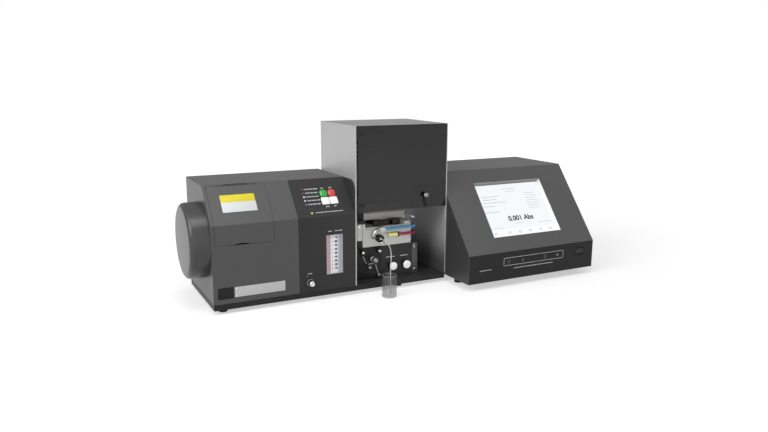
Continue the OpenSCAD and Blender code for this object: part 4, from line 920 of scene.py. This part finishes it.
def adjuster_links():
    """Flat links and their pivots on the front of the adjuster's bracket."""
    screw = middle("adjust_screw")
    links, pivots = bmesh.new(), bmesh.new()
    for start, end in ((LINK_LEFT, LINK_KNEE), (LINK_RIGHT, LINK_TOE), (LINK_KNEE, LINK_RIGHT)):
        along, centre = end - start, (start + end) / 2
        place = on_face(screw.x + centre.x, BRACKET_FACE, screw.z + centre.y, UPRIGHT)
        place = place @ Matrix.Rotation(math.atan2(along.y, along.x), 4, "Z")
        plate(links, place, 0, 0, along.length + LINK_WIDE, LINK_WIDE, 2.4, 1.4, 0.5)
    piece("adjuster_links", links, SATIN_CHROME)
    for pivot in (LINK_KNEE, LINK_RIGHT, LINK_LEFT):
        place = on_face(screw.x + pivot.x, BRACKET_FACE - 2.2, screw.z + pivot.y, UPRIGHT)
        socket_screw(pivots, place, 3.2, 2.6)
    piece("adjuster_pivots", pivots, BLACK_PLASTIC)


def chamber_fittings():
    """Plates, catches and screws on the spray chamber."""
    plates, catches, screws = bmesh.new(), bmesh.new(), bmesh.new()
    front = on_face(CHAMBER_LEFT, CHAMBER_FACE, CHAMBER_TOP - 25, UPRIGHT)
    for sizes in ((7.5, 15, 14, 42, 4, 3, 1.4), (20, 13, 8, 44, 2, 1.5, 0.8), (45, -1, 57, 45, 3, 2, 0.8),
                  (114, -9, 74, 28, 2.5, 2, 0.8)):
        plate(plates, front, *sizes)
    plate(plates, on_face(CHAMBER_LEFT + 145, CHAMBER_FACE + 40, CHAMBER_TOP, 0), 0, 0, 17, 74, 7, 2.5, 1.2)
    piece("chamber_plates", plates, GREY_PVC, "carriage")
    for along, wide, tall in ((56, 15, 15), (112, 21, 16)):
        place = on_face(CHAMBER_LEFT + along, CHAMBER_FACE + 6, CHAMBER_TOP + tall / 2, UPRIGHT)
        plate(catches, place, 0, 0, wide, tall, 5.5, 4, 1.2)
    plate(catches, front, 7.5, -15.6, 14, 18, 4.5, 2, 1)
    piece("chamber_catches", catches, BLACK_PLASTIC, "carriage")
    for x, y in ((7.5, 31), (7.5, 0), (21, -17), (69, -17), (82, -17), (146, -17)):
        socket_screw(screws, front @ Matrix.Translation(Vector((x, y, 3)) * MM), 2.6, 1.9)
    piece("chamber_screws", screws, NICKEL, "carriage")


def nebuliser():
    """Ribbed cap with a white nose."""
    spot, root = middle("nebuliser_cap"), high("nebuliser_cap").y
    place = on_face(spot.x, root, spot.z, UPRIGHT)
    reach = root - low("nebuliser_cap").y
    cap = turned([(4.3, 0), (9.2, 0), (10, 0.9), (10, reach - 3), (9.2, reach - 1.6), (6.8, reach - 1.2),
                  (6.4, reach - 2.6), (4.3, reach - 2.8), (4.3, 0)], place, 72, 18, 0.7, (0.6, reach - 2.2))
    turned([(0, reach - 3.6), (4.4, reach - 3.6), (4.4, reach - 2.4), (3.4, reach - 1.8), (0, reach - 1.8)],
           place, 32, into=cap)
    stand_in("nebuliser_cap", "_ribbed", cap, BLACK_PLASTIC)
    nose = turned([(0, reach - 2.0), (2.5, reach - 2.0), (2.3, reach - 0.4), (1.5, reach), (0, reach)],
                  place, 24)
    piece("nebuliser_nose", nose, WHITE_NYLON, "nebuliser")


def hoses():
    """Hoses that run right, bend to the back and sag on their way there."""
    back, turn_x = high("fuel_hose").y, high("fuel_hose").x - HOSE_R
    for node, colour in (("fuel_hose", BLUE_HOSE), ("oxidant_hose", RED_HOSE)):
        x, y, z = low(node).x, low(node).y + HOSE_R, middle(node).z
        bend_x, bend_y = turn_x - HOSE_BEND, y + HOSE_BEND
        route = [(x + (bend_x - x) * k / 4, y, z) for k in range(4)]
        route += [(bend_x + HOSE_BEND * math.sin(a), bend_y - HOSE_BEND * math.cos(a), z)
                  for a in (math.radians(15 * k) for k in range(7))]
        route += [(turn_x, bend_y + (back - bend_y) * k / 8,
                   z - HOSE_SAG * math.sin(math.pi * min(k / 7, 1)) ** 2) for k in range(1, 9)]
        stand_in(node, "_tube", tube(route, HOSE_R, 16, 3)[0], colour)


def fuel_elbow():
    """Plated elbow from the chamber to the blue hose, round the nebuliser's cap, with a nut at each end."""
    start = low("fuel_hose") + Vector((0, HOSE_R, HOSE_R))
    elbow = tube([start + Vector(bend) for bend in ELBOW_BENDS], 3.0, 16, 4)[0]
    foot = start + Vector((-33, 6, -19.5))
    for place in (to_the_right(start + Vector((-4, 0, 0))), on_face(foot.x, foot.y, foot.z, UPRIGHT)):
        turned([(3.0, 0), (5.2, 0.5), (5.2, 6.5), (3.0, 7), (3.0, 0)], place, 6, into=elbow)
    piece("fuel_elbow", elbow, NICKEL, "carriage", crease=30)


def oxidant_fitting():
    """Yellow fitting of the red hose, with a dark band at its end."""
    place = to_the_right(low("oxidant_hose") + Vector((-31.5, HOSE_R, HOSE_R)))
    fitting = turned([(0, 0), (5.2, 0), (5.6, 0.6), (5.6, 7), (5.3, 8), (5.3, 19), (5.6, 20), (5.6, 25),
                      (5.2, 26), (5.2, 31.8), (0, 31.8)], place, 32)
    piece("oxidant_fitting", fitting, YELLOW_NYLON, "carriage")
    band = turned([(5.4, 26.2), (6.1, 26.6), (6.1, 30.6), (5.4, 31), (5.4, 26.2)], place, 32)
    piece("oxidant_fitting_band", band, BLACK_PLASTIC, "carriage")


def clamp_ring():
    """Hand ring with broad lobes, and a lower lip."""
    spot, foot = middle("clamp_ring"), low("clamp_ring").z
    tall = high("clamp_ring").z - foot
    ring = turned([(20.6, 0), (38, 0), (38.6, 0.6), (38.6, 2.4), (41, 3), (42, 4), (42, tall - 1.4),
                   (40.8, tall - 0.4), (38, tall), (26, tall), (25, tall - 1), (20.6, tall - 1), (20.6, 0)],
                  on_face(spot.x, spot.y, foot, 0), 144, 12, 3.4, (2.7, tall + 1))
    stand_in("clamp_ring", "_lobed", ring, BLACK_PLASTIC)


def burner_handle():
    """Plated grip on the end of the burner's handle."""
    end = Vector((high("burner_head").x, middle("burner_head").y - 12, low("burner_head").z + 6.3))
    along = Matrix.Translation(end * MM) @ Matrix.Rotation(HANDLE_DROOP - UPRIGHT, 4, "Y")
    grip = turned([(0, -1.5), (2.6, -1.2), (3.9, 0.4), (4.1, 2.5), (3.9, 10.5), (3.1, 12.5), (2.4, 13.2),
                   (0, 13.2)], along, 28)
    piece("burner_handle_grip", grip, NICKEL, "carriage")


def sample_cup():
    spot, top = middle("sample_cup"), high("sample_cup").z
    place = on_face(spot.x, spot.y, 0, 0)
    cup = turned([(0, 0), (17.2, 0), (18.1, 0.6), (18.4, 2), (18.4, top - 1.6), (18.5, top - 0.6),
                  (18.1, top), (17.4, top - 0.2), (17.0, top - 1.4), (17.0, 3.2), (16.4, 2.2), (15, 1.8),
                  (0, 1.8)], place, 56)
    stand_in("sample_cup", "_moulded", cup, CUP_PLASTIC)
    # Paler, denser ring at the lip: a thicker rim, and a painted highlight along it
    lip = turned([(18.5, top - 1.8), (18.9, top - 1.4), (18.9, top - 0.5), (18.5, top - 0.2),
                  (18.5, top - 1.8)], place, 56)
    piece("sample_cup_lip_highlight", lip, CUP_LIP_HIGHLIGHT, "chassis")


# Console: what its screen shows, and the prints on its front strip

# Screen: its middle, width and height, how far up the slope it starts, and how far it is sunk
SCREEN_X = middle("display_panel").x
SCREEN_WIDE, SCREEN_TALL, SCREEN_LOW, SCREEN_SUNK = 217, 161, 42, 14
SCREEN_PLACE = on_console(SCREEN_X, SCREEN_LOW + SCREEN_TALL / 2, SCREEN_SUNK)
# Small print on the screen: from the left, from the top, length and height
SCREEN_WORDS = (
    (92, 18, 44, 1.6), (98, 26, 32, 1.2), (18, 38, 57, 1.8), (20, 47, 42, 1.8), (14, 56, 76, 1.8),
    (14, 66, 34, 1.8), (12, 84, 44, 1.8), (90, 121, 28, 1.4), (8, 131, 42, 1.3), (168, 125, 42, 1.3))
# Middle of the printed outline on the front strip
STRIP_Z = 65.2


def screen_bar(into, left, down, length, tall):
    """A bar on the screen, from its left edge and its top."""
    plate(into, SCREEN_PLACE, left + length / 2 - SCREEN_WIDE / 2, SCREEN_TALL / 2 - down, length, tall, INK)


def screen_print(into, left, down, length, tall):
    """A line of small print on the screen, from its left edge and its top."""
    dashes(into, SCREEN_PLACE, left - SCREEN_WIDE / 2, SCREEN_TALL / 2 - down, length, tall)


def screen():
    pale, grey, dark, edge = bmesh.new(), bmesh.new(), bmesh.new(), bmesh.new()
    # A grey strip along the screen's top: painted shade under the surround's upper wall
    screen_bar(edge, 0, 1.6, SCREEN_WIDE, 3.2)
    for line in SCREEN_WORDS:
        screen_print(grey, *line)
    for row in range(7):
        screen_bar(grey, 155, 35 + 7.5 * row, 38 + 2 * (row % 2), 0.9)
    lettering(dark, SCREEN_PLACE, 116.5 - SCREEN_WIDE / 2, SCREEN_TALL / 2 - 107, "0.001 Abs", 14, 0.65)
    screen_bar(pale, 0, 147, SCREEN_WIDE, 20)
    for left in (16, 59, 93, 126, 161, 193):
        plate(grey, SCREEN_PLACE, left + 4 - SCREEN_WIDE / 2, SCREEN_TALL / 2 - 146, 8, 6, INK * 2, 1.2,
              hollow=1.2)
    piece("screen_fields", pale, SCREEN_PALE)
    piece("screen_lines", grey, SCREEN_GREY)
    piece("screen_reading", dark, SCREEN_DARK)
    piece("screen_top_painted_shade", edge, BEZEL_PAINTED_SHADE)


def console_prints():
    white, grey = bmesh.new(), bmesh.new()
    strip = on_console_front(SCREEN_X, STRIP_Z)
    plate(white, strip, 0, 0, 193, 20.5, INK, 1.6, hollow=0.9)
    dashes(white, strip, -64, -18.5, 127, 2.1)
    dashes(white, on_console_front(X_CONSOLE + 33, 50.5), 0, 0, 36, 1.8)
    # Four faint marks in the outline: a ring, a triangle of bars, a square and a disc
    turned([(3.2, 0), (4.2, 0), (4.2, INK), (3.2, INK), (3.2, 0)],
           on_console_front(SCREEN_X - 80.5, STRIP_Z), 28, into=grey)
    for step in range(3):
        plate(grey, strip, -36.8, 3 - 3 * step, 3 + 3 * step, 1.2, INK)
    plate(grey, strip, 36.1, 0, 8, 8, INK, 1, hollow=1)
    rod(grey, on_console_front(SCREEN_X + 76.9, STRIP_Z), 3.6, 0, INK, 28)
    rocker = middle("power_rocker")
    flat_piece("rocker_surround", BLACK_PLASTIC, on_console_front(rocker.x, rocker.z), 31, 22.6, 0.6, 1.2,
               0.2, slot="black_plastic", hollow=2.2)
    piece("console_legends", white, WHITE_INK)
    piece("console_marks", grey, GREY_INK)


# Back: screws of the rear panels

def rear_screws():
    heads = bmesh.new()
    for node, inset in (("console_rear_panel", 12), ("cabinet_rear_panel", 12), ("tower_back", 9)):
        first, last = low(node), high(node)
        for x in (first.x + inset, last.x - inset):
            for z in (first.z + inset, middle(node).z, last.z - inset):
                socket_screw(heads, on_back(x, last.y, z), 3.4, 2.2)
    piece("rear_panel_screws", heads, NICKEL)


# Studio, in metres: pale floor that keeps the shadow, white surroundings and four lamps

WHITE = (1, 1, 1, 1)
# Light of the surroundings at eye level and overhead, and how far their back falls to grey in mirrors
SKY_LOW, SKY_HIGH, BACK_SHADE = 0.3, 0.55, 0.6
# Grey of the floor, its half side, and its glow to the eye near the object and far off, at these distances
FLOOR_GREY, FLOOR_HALF = (0.54, 0.54, 0.54, 1), 6
GLOW_NEAR, GLOW_FAR, NEAR, FAR = 0.52, 0.8, 0.7, 2.5
# The point that the main lamps face
AIM = (0, 0, 0.15)


def seen_not_lit(tree):
    """1 for rays from the camera, mirrors and glass, 0 for rays that gather light."""
    ray = add(tree, "LightPath").outputs
    total = add(tree, "Math", {0: ray["Is Camera Ray"], 1: ray["Is Glossy Ray"]}, operation="ADD").outputs[0]
    both = {0: total, 1: ray["Is Transmission Ray"]}
    return add(tree, "Math", both, operation="ADD", use_clamp=True).outputs[0]


def surroundings():
    """Soft light, brighter overhead, and white to the eye. Mirrors see it fall to a grey wall at the back."""
    SCENE.world = bpy.data.worlds.new("studio")
    SCENE.world.use_nodes = True
    tree = SCENE.world.node_tree
    tree.nodes.clear()
    view = add(tree, "SeparateXYZ", {0: add(tree, "TexCoord").outputs["Generated"]}).outputs
    span = {"Value": view["Z"], "From Min": 0.0, "From Max": 1.0, "To Min": SKY_LOW, "To Max": SKY_HIGH}
    over = add(tree, "MapRange", span).outputs[0]
    lit = add(tree, "Background", {"Color": WHITE, "Strength": over}).outputs[0]
    span = {"Value": view["Y"], "From Min": 0.1, "From Max": 0.8, "To Min": 0.0, "To Max": BACK_SHADE}
    shade = add(tree, "MapRange", span).outputs[0]
    mirrored = {0: shade, 1: add(tree, "LightPath").outputs["Is Glossy Ray"]}
    grey = add(tree, "Math", mirrored, operation="MULTIPLY").outputs[0]
    level = add(tree, "Math", {0: 1.0, 1: grey}, operation="SUBTRACT").outputs[0]
    seen = add(tree, "Background", {"Color": WHITE, "Strength": level}).outputs[0]
    add(tree, "OutputWorld", {0: add(tree, "MixShader", {0: seen_not_lit(tree), 1: lit, 2: seen}).outputs[0]})


def paper():
    """Matt floor, which glows to the eye alone, more so far from the object."""
    made = bpy.data.materials.new("matt_white_paper")
    made.use_nodes = True
    tree = made.node_tree
    tree.nodes.clear()
    matt = add(tree, "BsdfDiffuse", {"Color": FLOOR_GREY}).outputs[0]
    spot = add(tree, "TexCoord").outputs["Object"]
    away = add(tree, "VectorMath", {0: spot}, operation="LENGTH").outputs["Value"]
    span = {"Value": away, "From Min": NEAR, "From Max": FAR, "To Min": GLOW_NEAR, "To Max": GLOW_FAR}
    pale = add(tree, "MapRange", span).outputs[0]
    lift = add(tree, "Math", {0: seen_not_lit(tree), 1: pale}, operation="MULTIPLY").outputs[0]
    glow = add(tree, "Emission", {"Color": WHITE, "Strength": lift}).outputs[0]
    add(tree, "OutputMaterial", {0: add(tree, "AddShader", {0: matt, 1: glow}).outputs[0]})
    return made


def area(name, place, target, size, power, spread=180):
    """A square lamp that faces a target. Its light keeps within spread degrees."""
    data = bpy.data.lights.new(name, "AREA")
    data.shape = "SQUARE"
    data.size = size
    data.energy = power
    data.spread = math.radians(spread)
    made = bpy.data.objects.new(name, data)
    made.location = place
    made.rotation_euler = (Vector(target) - Vector(place)).to_track_quat("-Z", "Y").to_euler()
    SCENE.collection.objects.link(made)
    return made


def studio():
    SCENE.view_settings.view_transform = "Standard"
    surroundings()
    shape = bmesh.new()
    bmesh.ops.create_grid(shape, x_segments=1, y_segments=1, size=FLOOR_HALF)
    mesh = bpy.data.meshes.new("floor")
    shape.to_mesh(mesh)
    shape.free()
    mesh.materials.append(paper())
    floor = bpy.data.objects.new("floor", mesh)
    SCENE.collection.objects.link(floor)
    # A key from the left, one from above, a fill from the front, and a narrow one into the burner's bay
    area("key_light", (-2.9, -0.8, 2.1), AIM, 2.0, 67)
    area("top_light", (-0.5, -1.2, 2.9), AIM, 1.2, 27)
    area("fill_light", (-1.0, -3.0, 0.9), AIM, 1.6, 9)
    area("bay_light", (-0.35, -1.45, 0.26), (0.04, 0.06, 0.11), 0.2, 0.11, 22)


camera()
capillary()
housings()
cabinet_plates()
panel_end_plate()
push_buttons()
panel_prints()
flowmeter_tray()
flowmeter_tubes()
flowmeter_scale()
floats()
trim_valve()
latch()
louvres()
gas_knobs()
gas_box_flange()
bay_screws()
thumbscrew()
adjuster_links()
chamber_fittings()
nebuliser()
hoses()
fuel_elbow()
oxidant_fitting()
clamp_ring()
burner_handle()
sample_cup()
screen()
console_prints()
rear_screws()
studio()
